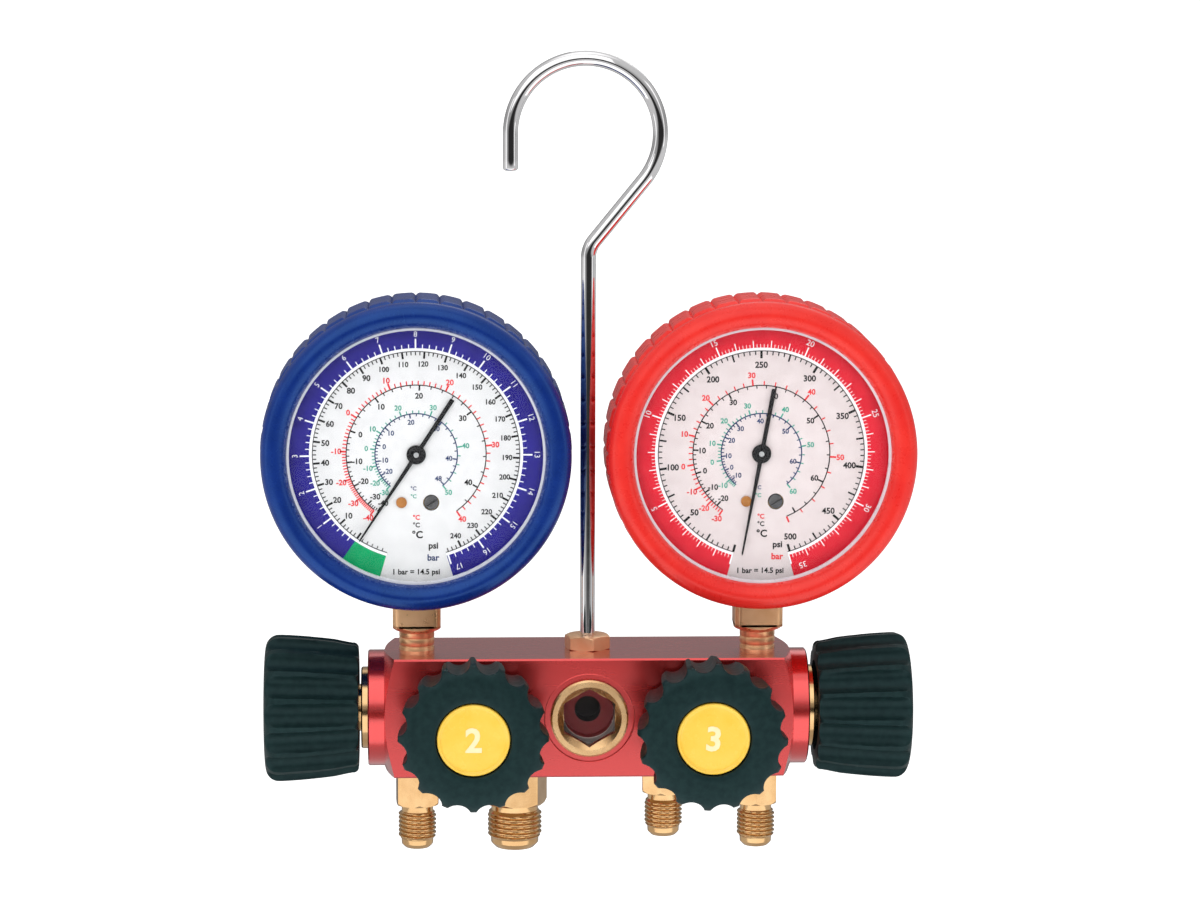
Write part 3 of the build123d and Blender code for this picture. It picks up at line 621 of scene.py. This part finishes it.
def make_port(name, x, af, h, neck_r, thread_r, tip_r, end_r, bore_r, spigot_r, turn, pitch):
    z0 = -BLOCK_H
    zh = z0 - h
    n = 216
    thetas = [math.radians(turn) + TAU * i / n for i in range(n)]
    apothem = af / 2
    corner = af / math.sqrt(3)
    depth = 0.58 * pitch
    pts = [(spigot_r - 0.03, -9.7, "r"), (spigot_r - 0.03, z0 + 0.02, "r")]
    # hexagon with turned-off corners
    hexp = [(apothem + 0.2, z0), (apothem + 0.35, z0 - 0.03)] + [(corner + 0.1, z0 - 0.55)]
    hexp = refine(hexp, 0.14) + refine([(corner + 0.1, z0 - 0.6), (corner + 0.1, zh + 1.0)], 1.6) + \
        refine([(corner + 0.1, zh + 0.9), (apothem + 0.3, zh + 0.02), (apothem + 0.15, zh)], 0.14)
    pts += [(r, z, "h") for r, z in hexp]
    z2 = zh - 2.0
    z3 = z2 - 8.3
    pts += [(apothem - 0.25, zh - 0.06, "r"), (neck_r + 0.25, zh - 0.06, "r"), (neck_r + 0.05, zh - 0.16, "r"), (neck_r, zh - 0.35, "r"), (neck_r, z2 + 0.1, "r")]
    rows_per = 13
    steps = int(round(8.3 / pitch * rows_per))
    pts += [(thread_r, z2 - 8.3 * i / steps, "t") for i in range(steps + 1)]
    c = tip_r - end_r
    tip = soften([(tip_r, z3 - 0.02), (tip_r, z3 - 1.5), (end_r, z3 - 1.5 - c), (bore_r, z3 - 1.5 - c)], 0.3, 4)
    pts += [(r, z, "r") for r, z in tip[1:-1]]
    pts += [(bore_r + 0.2, z3 - 1.5 - c, "r"), (bore_r, z3 - 1.3 - c, "r"), (bore_r, z3, "r"), (bore_r, -9.7, "r")]

    def fn(th, r, z, kind):
        if kind == "h":
            return smin(poly_r(th - math.radians(turn), 6, apothem, 0.3), r, 0.12)
        if kind == "t":
            u = (z / pitch + th / TAU) % 1.0
            tri = 1 - abs(2 * u - 1)
            k = min(1.0, max(0.0, (tri - 0.16) / 0.66))
            k = k * k * (3 - 2 * k) * 0.5 + k * 0.5
            crest = min(thread_r, neck_r + 0.1 + (z2 - z) * 1.2, tip_r + 0.05 + (z - z3) * 0.9)
            return max(min(crest, thread_r - depth * (1 - k)), min(neck_r, tip_r))
        return r

    rows = spun(lambda a, b, z: (x + a, b, z), fn, pts, thetas)
    v, f = grid(rows, closed_rows=True)
    return piece(name + "_fitting", v, f, "brass", "manifold", [name], sharp=34)


make_port("low_side_port", -50.0, 12.0, 11.5, 4.65, 5.556, 4.65, 3.5, 2.4, 5.0, 35, 1.27)
make_port("high_side_port", 50.0, 12.0, 11.5, 4.65, 5.556, 4.65, 3.5, 2.4, 5.0, 26, 1.27)
make_port("charging_port", 22.6, 12.0, 8.2, 4.65, 5.556, 4.65, 3.5, 2.4, 5.0, 22, 1.27)
make_port("vacuum_port", -21.3, 17.0, 11.2, 6.9, 7.9375, 7.0, 5.5, 4.0, 7.0, 12, 1.411)


# ------------------------------------------------------------------ gauge sockets and gland nut
def make_socket(name, gx):
    zt = GZ - 26.0
    n = 160
    thetas = [TAU * i / n + math.pi / 4 for i in range(n)]
    pts = [(1.5, 9.75, "r"), (5.0, 9.75, "r"), (5.15, 9.9, "r"), (5.15, 16.0, "r"), (5.15, 18.3, "r"), (5.1, 18.42, "r"), (4.94, 18.5, "r"), (4.9, 18.6, "r"), (4.9, 18.95, "r"), (4.94, 19.05, "r"),
            (5.1, 19.13, "r"), (5.15, 19.25, "r"), (5.15, 20.9, "r"), (5.11, 21.0, "r"), (5.03, 21.06, "r"), (5.0, 21.15, "r"), (5.03, 21.24, "r"), (5.11, 21.3, "r"),
            (5.15, 21.4, "r"), (5.15, 22.6, "r"), (5.22, 23.0, "r"), (5.45, 23.26, "r"), (5.8, 23.3, "r")]
    body = refine([(6.35, 23.3), (6.5, 23.36), (9.2, 25.25)], 0.15)
    pts += [(r, z, "s") for r, z in body] + [(9.02, z, "s") for z in (24.6, 28.0, 34.0, 42.0, zt)]
    pts += [(1.5, zt, "r")]

    def fn(th, r, z, kind):
        if kind == "s":
            return smin(poly_r(th - math.pi / 4, 4, 7.0, 0.5), min(r, 9.02), 0.25)
        return r

    v, f = grid(spun(lambda a, b, z: (gx + a, b, z), fn, pts, thetas), closed_rows=True)
    return piece(f"{name}_gauge_stem", v, f, "brass_satin", "manifold", [f"{name}_gauge_socket"], sharp=34)


make_socket("low", -GAUGE_X)
make_socket("high", GAUGE_X)

nut_pts = [(2.26, 13.5, "r"), (4.97, 13.5, "r"), (4.97, BLOCK_H - 0.02, "r")]
nut_pts += [(r, z, "h") for r, z in refine([(6.2, BLOCK_H), (7.2, BLOCK_H + 0.35), (7.2, BLOCK_H + 3.0), (7.05, BLOCK_H + 3.42), (6.1, BLOCK_H + 3.92)], 0.16)]
nut_pts += [(5.9, BLOCK_H + 4.0, "r"), (2.55, BLOCK_H + 4.0, "r"), (2.26, BLOCK_H + 3.75, "r")]
nut_turn = math.radians(-78.0)
v, f = grid(spun(up_place, lambda th, r, z, k: smin(poly_r(th - nut_turn, 6, 6.0, 0.3), r, 0.12) if k == "h" else r, nut_pts,
                 [nut_turn + TAU * i / 216 for i in range(216)]), closed_rows=True)
piece("hook_nut", v, f, "copper_nut", "manifold", ["hook_gland_nut"], sharp=34)

# broken edge of the shallow seat that the sight glass ring sits in
lip_pts = [(13.02 + 0.2 * math.cos(TAU * i / 12), 0.2 * math.sin(TAU * i / 12) - 0.02) for i in range(12)]
v, f = grid(spun(lambda x, y, t: (x, -BLOCK_H - t, y), lambda th, r, t, k: r, lip_pts, [TAU * i / 160 for i in range(160)]), closed_rows=True)
piece("sight_seat_edge", v, f, "anodised", "manifold", sharp=60)

# ------------------------------------------------------------------ hook
HCX, HCZ, HR, ROD = -0.94, 168.35, 21.65, 2.2
phi = math.radians(39.1)
tx, tz = HCX + HR * math.cos(phi), HCZ - HR * math.sin(phi)
kk = tx / math.sin(phi)
zb = tz - kk * math.cos(phi)
BR = 8.0
tl = BR * math.tan(phi / 2)
line = []                       # (x, z, tangent angle from +Z towards +X)
for z in (13.2, 30.0, 60.0, 90.0, 115.0):
    line.append((0.0, z, 0.0))
for i in range(17):
    a = phi * i / 16
    line.append((BR * (1 - math.cos(a)), zb - tl + BR * math.sin(a), a))
for i in range(1, 4):
    s = i / 4
    x0, z0 = tl * math.sin(phi), zb + tl * math.cos(phi)
    line.append((x0 + (tx - x0) * s, z0 + (tz - z0) * s, phi))
a0, a1 = -39.1, 180.0
for i in range(101):
    a = math.radians(a0 + (a1 - a0) * i / 100)
    line.append((HCX + HR * math.cos(a), HCZ + HR * math.sin(a), -a))
for z in (165.0, 161.0, 158.4):
    line.append((HCX - HR, z, math.pi))
rows = [[(ROD * 1.59 * math.cos(TAU * j / 40), ROD * 1.59 * math.sin(TAU * j / 40), z) for j in range(40)] for z in (10.4, 13.1)]
rows = []


def hook_ring(x, z, a, r):
    # across the rod: one direction is Y, the other lies in the XZ plane square to the tangent
    nx, nz = math.cos(a), -math.sin(a)
    return [(x + r * math.cos(TAU * j / 40) * nx, r * math.sin(TAU * j / 40), z + r * math.cos(TAU * j / 40) * nz) for j in range(40)]


rows.append(hook_ring(0, 10.4, 0, 3.2))
rows.append(hook_ring(0, 10.6, 0, 3.5))
rows.append(hook_ring(0, 12.95, 0, 3.5))
rows.append(hook_ring(0, 13.15, 0, 3.3))
for x, z, a in line:
    rows.append(hook_ring(x, z, a, ROD))
for dz, r in ((0.15, 2.17), (0.4, 2.05), (0.6, 1.85), (0.74, 1.5), (0.79, 0.9)):
    rows.append(hook_ring(HCX - HR, 158.4 - dz, math.pi, r))
v, f = grid(rows, cap=True)
piece("hook_rod", v, f, "chrome", "hook", ["hanging_hook"], sharp=50)


# ------------------------------------------------------------------ dial printing
def pol(ang, r):
    a = math.radians(ang)
    return (r * math.sin(a), r * math.cos(a))


class Sheet:
    """Collects flat printed shapes of one ink on one dial as thin closed solids."""

    def __init__(self, g0, g1):
        self.g0, self.g1, self.v, self.f = g0, g1, [], []

    def prism(self, pts):
        n, b = len(pts), len(self.v)
        self.v += [(x, y, self.g0) for x, y in pts] + [(x, y, self.g1) for x, y in pts]
        self.f.append(tuple(b + n + i for i in range(n)))
        self.f.append(tuple(b + i for i in reversed(range(n))))
        for i in range(n):
            j = (i + 1) % n
            self.f.append((b + i, b + j, b + n + j, b + n + i))

    def band(self, r0, r1, a0, a1, step=1.5):
        k = max(2, int(abs(a1 - a0) / step))
        n = k + 1
        b = len(self.v)
        for g in (self.g0, self.g1):
            for r in (r0, r1):
                self.v += [(*pol(a0 + (a1 - a0) * i / k, r), g) for i in range(n)]
        for i in range(k):
            self.f.append((b + 2 * n + i, b + 2 * n + i + 1, b + 3 * n + i + 1, b + 3 * n + i))
            self.f.append((b + i, b + n + i, b + n + i + 1, b + i + 1))
            self.f.append((b + i, b + i + 1, b + 2 * n + i + 1, b + 2 * n + i))
            self.f.append((b + n + i, b + 3 * n + i, b + 3 * n + i + 1, b + n + i + 1))
        self.f.append((b, b + 2 * n, b + 3 * n, b + n))
        e = b + k
        self.f.append((e, e + n, e + 3 * n, e + 2 * n))

    def tick(self, ang, r0, r1, width):
        a = math.radians(ang)
        dx, dy = math.cos(a) * width / 2, -math.sin(a) * width / 2
        (x0, y0), (x1, y1) = pol(ang, r0), pol(ang, r1)
        self.prism([(x0 - dx, y0 - dy), (x0 + dx, y0 + dy), (x1 + dx, y1 + dy), (x1 - dx, y1 - dy)])

    def text(self, body, size, x, y, rot=0.0, bold=True):
        vs, fs = text_mesh(body, size, 0.00001, bold)
        zs = [v[2] for v in vs]
        lo, hi = min(zs), max(zs)
        b = len(self.v)
        a = math.radians(rot)
        for vx, vy, vz in vs:
            g = self.g0 + (self.g1 - self.g0) * (vz - lo) / max(hi - lo, 1e-9)
            self.v.append((x + vx * math.cos(a) + vy * math.sin(a), y - vx * math.sin(a) + vy * math.cos(a), g))
        self.f += [tuple(b + i for i in f) for f in fs]

    def make(self, name, gx, material, slot=None):
        place = gauge_place(gx)
        me = bpy.data.meshes.new(name)
        me.from_pydata([mm(*place(*p)) for p in self.v], [], self.f)
        me.validate()
        me.update()
        o = bpy.data.objects.new(name, me)
        scene.collection.objects.link(o)
        me.materials.append(M[material])
        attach(o, "manifold")
        return o


def curve_scale(knots, step):
    """Values between knots (value, angle) with their angles, by straight steps between knots."""
    out = []
    for (v0, a0), (v1, a1) in zip(knots, knots[1:]):
        n = max(1, int(round((v1 - v0) / step)))
        for i in range(n):
            out.append((v0 + (v1 - v0) * i / n, a0 + (a1 - a0) * i / n, i == 0))
    out.append((knots[-1][0], knots[-1][1], True))
    return out


def make_dial(name, gx):
    low = name == "low"
    place_band = Sheet(8.99, 9.06)
    white = Sheet(8.99, 9.11)
    black = Sheet(8.99, 9.06)
    redi = Sheet(8.99, 9.07)
    green = Sheet(8.99, 9.06)
    teal = Sheet(8.99, 9.065)
    navy = Sheet(8.99, 9.055)
    B0, B1 = 30.85, 37.75
    white.band(30.2, 30.9, -163.5 if low else -164.8, 163.5 if low else 164.8, 2.0)
    black.band(29.82, 30.04, -163.5 if low else -164.8, 163.5 if low else 164.8, 2.0)
    if low:
        place_band.band(B0, B1, -145.0, 163.5)
        green.band(B0, B1, -163.5, -145.0)
        for k in range(0, 17 * 5 + 1):
            ang = -145.0 + 18.1 * k / 5
            if k == 0 or ang > 163.2:
                continue
            major = k % 5 == 0
            white.tick(ang, B0 - 0.1, 33.6 if major else 32.05, 0.46 if major else 0.25)
        for k in range(1, 18):
            ang = -145.0 + 18.1 * k
            if k == 17:
                ang -= 3.2
            white.text(str(k), 2.3, *pol(ang, 35.0), rot=ang, bold=False)
        for k in range(0, 125):
            p = 2 * k
            ang = -145.0 + 1.248 * p
            if ang > 163:
                break
            major = p % 10 == 0
            black.tick(ang, 29.95, 27.95 if major else 28.85, 0.58 if major else 0.32)
            if major and p > 0:
                black.text(str(p), 2.35 if p < 100 else 2.1, *pol(ang, 26.4), rot=0)
        for k in range(1, 6):
            black.tick(-145.0 - 3.1 * k, 29.95, 29.0, 0.26)
        circle_r, red_r = 20.2, 22.9
        A = [(-40, -143), (-30, -128), (-20, -110.6), (-10, -87.6), (0, -58), (10, -21.5), (20, 25), (30, 83), (40, 145)]
        Bk = [(-40, -146), (-30, -136), (-20, -117), (-10, -96.6), (0, -70), (10, -35.6), (20, 2.9), (30, 52), (40, 118.6), (44, 148)]
        C = [(-30, -140), (-20, -125), (-10, -106), (0, -83), (10, -59), (20, -21), (30, 20), (40, 80), (50, 140)]
        D = [(-30, -142), (-20, -121), (-10, -100), (0, -76), (10, -49), (20, -9), (30, 38), (40, 97), (48, 138)]
        ring_r, t_size = 11.9, 2.25
    else:
        place_band.band(B0, B1, -164.8, 164.8)
        for k in range(0, 36):
            ang = -164.5 + 9.4 * k
            major = k % 5 == 0
            white.tick(ang, B0 - 0.1, 33.7 if major else 33.0, 0.38 if major else 0.27)
            for q in (1, 2, 3, 4):
                if k < 35:
                    white.tick(ang + 9.4 * q / 5, B0 - 0.1, 31.9, 0.15)
        for k in range(5, 36, 5):
            ang = -164.5 + 9.4 * k
            if k == 35:
                ang -= 5.2
            white.text(str(k), 2.4, *pol(ang, 35.0), rot=ang, bold=False)
        for k in range(0, 101):
            p = 5 * k
            ang = -164.5 + 0.656 * p
            if ang > 164.6:
                break
            major, mid = p % 50 == 0, p % 25 == 0
            black.tick(ang, 29.95, 27.8 if major or mid else 28.8, 0.68 if major else 0.5 if mid else 0.34)
            if major and p > 0:
                black.text(str(p), 2.45, *pol(ang - (3 if p == 500 else 0), 25.9), rot=0)
        circle_r, red_r = 19.9, 22.8
        A = [(-30, -146), (-20, -134), (-10, -119), (0, -99.5), (10, -75.5), (20, -45), (30, -7.5), (40, 38.7), (50, 93), (60, 158)]
        Bk = [(-20, -140), (-10, -125), (0, -107), (10, -87), (20, -61.5), (30, -29), (40, 12), (50, 56), (60, 115), (66, 150)]
        C = [(-20, -143), (-10, -130), (0, -100), (10, -78), (20, -48.7), (30, -16.6), (40, 28), (50, 80), (60, 140)]
        D = [(-20, -148), (-10, -132), (0, -115), (10, -94), (20, -66), (30, -40), (40, -2.5), (50, 47), (60, 104), (70, 146)]
        ring_r, t_size = 11.7, 2.25
    # temperature scales
    black.band(circle_r - 0.15, circle_r + 0.15, A[0][1], A[-1][1], 2.0)
    for v, a, knot in curve_scale(A, 1 if low else 2):
        redi.tick(a, circle_r + 0.1, circle_r + (1.9 if knot else 1.25), 0.5 if knot else 0.34)
        if knot and abs(a) < 150:
            redi.text(str(int(v)), t_size, *pol(a, red_r + 0.2), rot=0)
    for v, a, knot in curve_scale(Bk, 2):
        if a > A[-1][1]:
            continue
        black.tick(a, circle_r - 0.1, circle_r - (1.6 if knot else 0.9), 0.48 if knot else 0.3)
        if knot and abs(a) < 147 and int(v) % 10 == 0:
            black.text(str(int(v)), t_size, *pol(a, 17.1), rot=0)
    navy.band(ring_r - 0.17, ring_r + 0.17, -141.5, 140.5, 2.5)
    for v, a, knot in curve_scale(C, 2):
        if a < -142:
            continue
        teal.tick(a, ring_r + 0.1, ring_r + (1.5 if knot else 0.95), 0.42 if knot else 0.3)
        if knot:
            teal.text(str(int(v)), t_size * 0.92, *pol(a, 14.5), rot=0)
    for v, a, knot in curve_scale(D, 2):
        if abs(a) > 141.5:
            continue
        navy.tick(a, ring_r - 0.1, ring_r - (1.3 if knot else 0.8), 0.42 if knot else 0.3)
        if knot and abs(a) < 139:
            navy.text(str(int(v)), t_size * 0.88, *pol(a, 9.5), rot=0)
    black.text("°C", 2.9, 0.3, -23.4)
    black.text("psi", 2.6, 4.9, -27.0)
    (navy if low else redi).text("bar", 2.6, 4.9, -30.2)
    navy.text("°C", 1.6, -0.8, -9.9)
    teal.text("°C", 1.6, -0.8, -12.2)
    redi.text("°C", 1.9, 0.0, -18.4)
    black.text("°C", 1.9, 0.0, -20.6)
    black.text("1 bar = 14.5 psi", 2.2, 0.0, -34.6)
    band_mat = "band_blue" if low else "band_red"
    place_band.make(f"{name}_dial_band", gx, band_mat)
    white.make(f"{name}_dial_white_print", gx, "ink_white")
    black.make(f"{name}_dial_black_print", gx, "ink_black")
    redi.make(f"{name}_dial_red_print", gx, "ink_red")
    teal.make(f"{name}_dial_teal_print", gx, "ink_teal")
    navy.make(f"{name}_dial_navy_print", gx, "ink_navy")
    if low:
        green.make(f"{name}_dial_green_zone", gx, "ink_green")


make_dial("low", -GAUGE_X)
make_dial("high", GAUGE_X)


def make_pointer(name, gx, rest):
    place = gauge_place(gx)
    a = math.radians(rest)
    along, across = (math.sin(a), math.cos(a)), (math.cos(a), -math.sin(a))
    outline = [(-19.25, 0.52), (-18.9, 0.66), (-12.0, 0.62), (-5.0, 0.60), (0.0, 0.66), (6.0, 0.56), (14.0, 0.42), (22.0, 0.32), (29.6, 0.24), (30.25, 0.10)]
    left = [(s, w) for s, w in outline]
    loop = left + [(s, -w) for s, w in reversed(outline)]
    rows = []
    for g, k in ((9.76, 0.7), (9.82, 1.0), (10.06, 1.0), (10.14, 0.72)):
        rows.append([place(s * along[0] + w * k * across[0], s * along[1] + w * k * across[1], g) for s, w in loop])
    v, f = grid(rows)
    m, n = len(loop), len(rows)
    f.append(tuple(reversed(range(m))))
    f.append(tuple((n - 1) * m + i for i in range(m)))
    piece(f"{name}_pointer_blade", v, f, "pointer", f"{name}_needle", [f"{name}_gauge_pointer"], sharp=40)
    dome = [(0.76, 9.37), (2.55, 9.37), (2.75, 9.5), (2.8, 9.8), (2.75, 10.1), (2.5, 10.3), (2.05, 10.38), (1.55, 10.36), (1.35, 10.2), (0.76, 10.14)]
    v, f = grid(spun(place, lambda th, r, t, k: r, dome, [TAU * i / 64 for i in range(64)]), closed_rows=True)
    piece(f"{name}_pointer_hub", v, f, "pointer", f"{name}_needle", sharp=40)


make_pointer("low", -GAUGE_X, -146.8)
make_pointer("high", GAUGE_X, -169.6)



def make_case(name, gx):
    """Deep drawn case: pressed steps in the back, and the rubber blow-out disc every such gauge carries there."""
    place = gauge_place(gx)
    prof = soften([(0.3, -9.98), (11.2, -9.98), (12.2, -9.45), (28.6, -9.45), (30.0, -9.98), (37.9, -9.98), (39.4, -9.5), (39.88, -8.2), (39.88, 12.75),
                   (39.7, 12.9), (39.2, 12.9), (39.1, 12.7), (39.1, -8.0), (38.0, -8.9), (30.0, -8.95), (0.3, -8.95)], 0.5, 4)
    v, f = grid(spun(place, lambda th, r, t, k: r, prof, [TAU * i / 160 for i in range(160)]), cap=True)
    piece(f"{name}_case_shell", v, f, "case", "manifold", [f"{name}_gauge_case"], sharp=36)
    plug = [(0.2, -9.86), (3.0, -9.86), (3.6, -9.74), (4.2, -9.86), (5.6, -9.84), (6.1, -9.7), (6.25, -9.4), (6.2, -9.2), (0.2, -9.2)]
    v, f = grid(spun(place, lambda th, r, t, k: r, plug, [TAU * i / 72 for i in range(72)], centre=(0.0, 20.5)), cap=True)
    piece(f"{name}_case_blowout_disc", v, f, "seal_black", "manifold", sharp=40)


make_case("low", -GAUGE_X)
make_case("high", GAUGE_X)

# ------------------------------------------------------------------ finishes of the CAD nodes that stay
dress("manifold_block", "anodised")
dress("sight_glass_ring", "brass_ring")
dress("sight_glass_window", "window")
dress("sight_glass_seal", "seal_grey")
dress("valve_bonnets", "brass")
dress("bonnet_seals", "seal_black")
dress("stem_seals", "seal_black")
dress("bezel_rings", "bezel")
dress("hairsprings", "steel")
dress("dial_screws", "brass_dark")
dress("calibration_screws", "dark_steel")
for s in ("low", "high", "vacuum", "charging"):
    dress(f"{s}_valve_seat_plug", "seal_grey")
    dress(f"{s}_valve_stem", "brass")
    dress(f"{s}_valve_knob_screw", "steel")
for g in ("low", "high"):
    dress(f"{g}_gauge_lens", "lens")
    # the red gauge's dial takes the copy with painted red reflection and painted shade
    dress(f"{g}_gauge_dial", "dial" if g == "low" else "dial_warm")
    dress(f"{g}_gauge_bourdon_tube", "brass_inner")
    dress(f"{g}_gauge_movement_frame", "brass_inner")
    dress(f"{g}_gauge_sector_gear", "brass_inner")
    dress(f"{g}_gauge_pinion_arbor", "steel")
    dress(f"{g}_gauge_link", "brass_inner")

# ------------------------------------------------------------------ floor, backdrop and light
verts, faces = [], []
rings = [(0.05, 0.0), (0.6, 0.0), (1.4, 0.0), (2.1, 0.0)] + [(2.1 + 0.7 * math.sin(math.radians(a)), 0.7 * (1 - math.cos(math.radians(a)))) for a in range(10, 91, 10)] + [(2.8, 1.4), (2.8, 2.6)] + [(2.8 * math.cos(math.radians(a)), 2.9 + 2.0 * math.sin(math.radians(a))) for a in (0, 10, 20, 30, 40, 50, 60, 70, 80, 87)]
floor_z = -1.75
n = 96
rows = [[(r * math.cos(TAU * j / n), r * math.sin(TAU * j / n), floor_z + h) for j in range(n)] for r, h in rings]
fv, ff = [p for row in rows for p in row], []
for i in range(len(rows) - 1):
    for j in range(n):
        k = (j + 1) % n
        ff.append((i * n + j, i * n + k, (i + 1) * n + k, (i + 1) * n + j))
fv.append((0, 0, floor_z))
ff += [((j + 1) % n, j, len(fv) - 1) for j in range(n)]
fm = bpy.data.meshes.new("studio_floor")
fm.from_pydata(fv, [], ff)
fm.polygons.foreach_set("use_smooth", [True] * len(fm.polygons))
floor = bpy.data.objects.new("studio_floor", fm)
scene.collection.objects.link(floor)
pale = bpy.data.materials.new("pale_floor")
pale.use_nodes = True
nt = pale.node_tree
p = nt.nodes["Principled BSDF"]
tc = nt.nodes.new("ShaderNodeTexCoord")
nz = nt.nodes.new("ShaderNodeTexNoise")
nz.inputs["Scale"].default_value = 3.0
rp = nt.nodes.new("ShaderNodeValToRGB")
rp.color_ramp.elements[0].color, rp.color_ramp.elements[1].color = (0.90, 0.90, 0.90, 1), (0.93, 0.93, 0.93, 1)
nt.links.new(tc.outputs["Object"], nz.inputs["Vector"])
nt.links.new(nz.outputs["Fac"], rp.inputs[0])
nt.links.new(rp.outputs[0], p.inputs["Base Color"])
p.inputs["Roughness"].default_value = 0.9
p.inputs["Specular IOR Level"].default_value = 0.0
p.inputs["Emission Color"].default_value = (1, 1, 1, 1)
p.inputs["Emission Strength"].default_value = 0.75
fm.materials.append(pale)
for flag in ("visible_glossy", "visible_diffuse", "visible_transmission", "visible_shadow"):
    setattr(floor, flag, flag == "visible_transmission")


def area(name, loc, target, size, power, size_y=None, colour=(1, 1, 1), glossy=True):
    d = bpy.data.lights.new(name, "AREA")
    d.shape = "RECTANGLE"
    d.size, d.size_y = size, size_y or size
    d.energy = power
    d.color = colour
    o = bpy.data.objects.new(name, d)
    scene.collection.objects.link(o)
    o.location = loc
    o.rotation_euler = (Vector(target) - Vector(loc)).to_track_quat("-Z", "Y").to_euler()
    o.visible_glossy = glossy
    return o


for lamp in (
    area("softbox_above", (-0.26, -0.70, 0.50), (0, 0, -0.13), 1.1, 3.3, 0.9),
    area("fill_right", (0.85, -0.45, 0.15), (0, 0, -0.12), 0.30, 0.6, 0.8),
    area("fill_left", (-0.95, -0.35, 0.0), (0, 0, -0.14), 0.30, 0.6, 0.8),
    area("back_soft", (0.30, 0.90, 0.62), (0, 0, -0.12), 0.8, 1.0, 0.5),
    area("table_glow", (0.0, -0.21, -0.262), (0, -0.21, 0.5), 0.7, 0.72, 0.33),
):
    lamp.visible_camera = False

world = bpy.data.worlds.new("studio")
scene.world = world
world.use_nodes = True
nt = world.node_tree
nt.nodes.clear()
out = nt.nodes.new("ShaderNodeOutputWorld")
bg = nt.nodes.new("ShaderNodeBackground")
nt.links.new(bg.outputs[0], out.inputs[0])
tc = nt.nodes.new("ShaderNodeTexCoord")
sep = nt.nodes.new("ShaderNodeSeparateXYZ")
nt.links.new(tc.outputs["Generated"], sep.inputs[0])
mr = nt.nodes.new("ShaderNodeMapRange")
mr.inputs["From Min"].default_value, mr.inputs["From Max"].default_value = -1.0, 1.0
nt.links.new(sep.outputs["Z"], mr.inputs["Value"])
ramp = nt.nodes.new("ShaderNodeValToRGB")
cr = ramp.color_ramp
cr.elements[0].position, cr.elements[0].color = 0.0, (0.75, 0.75, 0.75, 1)
cr.elements[1].position, cr.elements[1].color = 1.0, (2.0, 2.0, 2.0, 1)
for pos, val in ((0.30, 0.90), (0.44, 0.85), (0.50, 0.55), (0.58, 0.48), (0.72, 0.80), (0.93, 0.88)):
    e = cr.elements.new(pos)
    e.color = (val, val, val, 1)
nt.links.new(mr.outputs[0], ramp.inputs[0])


def lobe(direction, lo, hi, amount):
    """1 outside the lobe round a direction, 1 - amount inside it."""
    dot = nt.nodes.new("ShaderNodeVectorMath")
    dot.operation = "DOT_PRODUCT"
    nt.links.new(tc.outputs["Generated"], dot.inputs[0])
    dot.inputs[1].default_value = Vector(direction).normalized()
    m2 = nt.nodes.new("ShaderNodeMapRange")
    m2.interpolation_type = "SMOOTHSTEP"
    m2.inputs["From Min"].default_value, m2.inputs["From Max"].default_value = lo, hi
    m2.inputs["To Min"].default_value, m2.inputs["To Max"].default_value = 1.0, 1.0 - amount
    nt.links.new(dot.outputs["Value"], m2.inputs["Value"])
    return m2.outputs[0]


mul = nt.nodes.new("ShaderNodeMath")
mul.operation = "MULTIPLY"
def wmath(op, a, b=0.0):
    n = nt.nodes.new("ShaderNodeMath")
    n.operation = op
    for i, v in enumerate((a, b)):
        if isinstance(v, (int, float)):
            n.inputs[i].default_value = v
        else:
            nt.links.new(v, n.inputs[i])
    return n.outputs[0]


# the unlit side of the studio in front: wide and low, so that round bars show a dark line
wide = wmath("MULTIPLY", wmath("SUBTRACT", sep.outputs["X"], 0.12), 0.34)
tall = wmath("MULTIPLY", wmath("ADD", sep.outputs["Z"], 0.07), 1.8)
away = wmath("SQRT", wmath("ADD", wmath("MULTIPLY", wide, wide), wmath("MULTIPLY", tall, tall)))
dark = nt.nodes.new("ShaderNodeMapRange")
dark.interpolation_type = "SMOOTHSTEP"
dark.inputs["From Min"].default_value, dark.inputs["From Max"].default_value = 0.16, 0.36
dark.inputs["To Min"].default_value, dark.inputs["To Max"].default_value = 0.95, 0.0
nt.links.new(away, dark.inputs["Value"])
front = wmath("SUBTRACT", 1.0, wmath("MULTIPLY", dark.outputs[0], wmath("LESS_THAN", sep.outputs["Y"], 0.0)))
nt.links.new(front, mul.inputs[0])
behind = wmath("MULTIPLY", lobe((0, 1, 0.10), 0.45, 0.92, 0.45), lobe((0.04, 0.98, -0.26), 0.945, 0.985, 0.72))
nt.links.new(behind, mul.inputs[1])
level = nt.nodes.new("ShaderNodeMath")
level.operation = "MULTIPLY"
level.inputs[1].default_value = 0.82
nt.links.new(mul.outputs[0], level.inputs[0])
nt.links.new(ramp.outputs[0], bg.inputs["Color"])
nt.links.new(level.outputs[0], bg.inputs["Strength"])
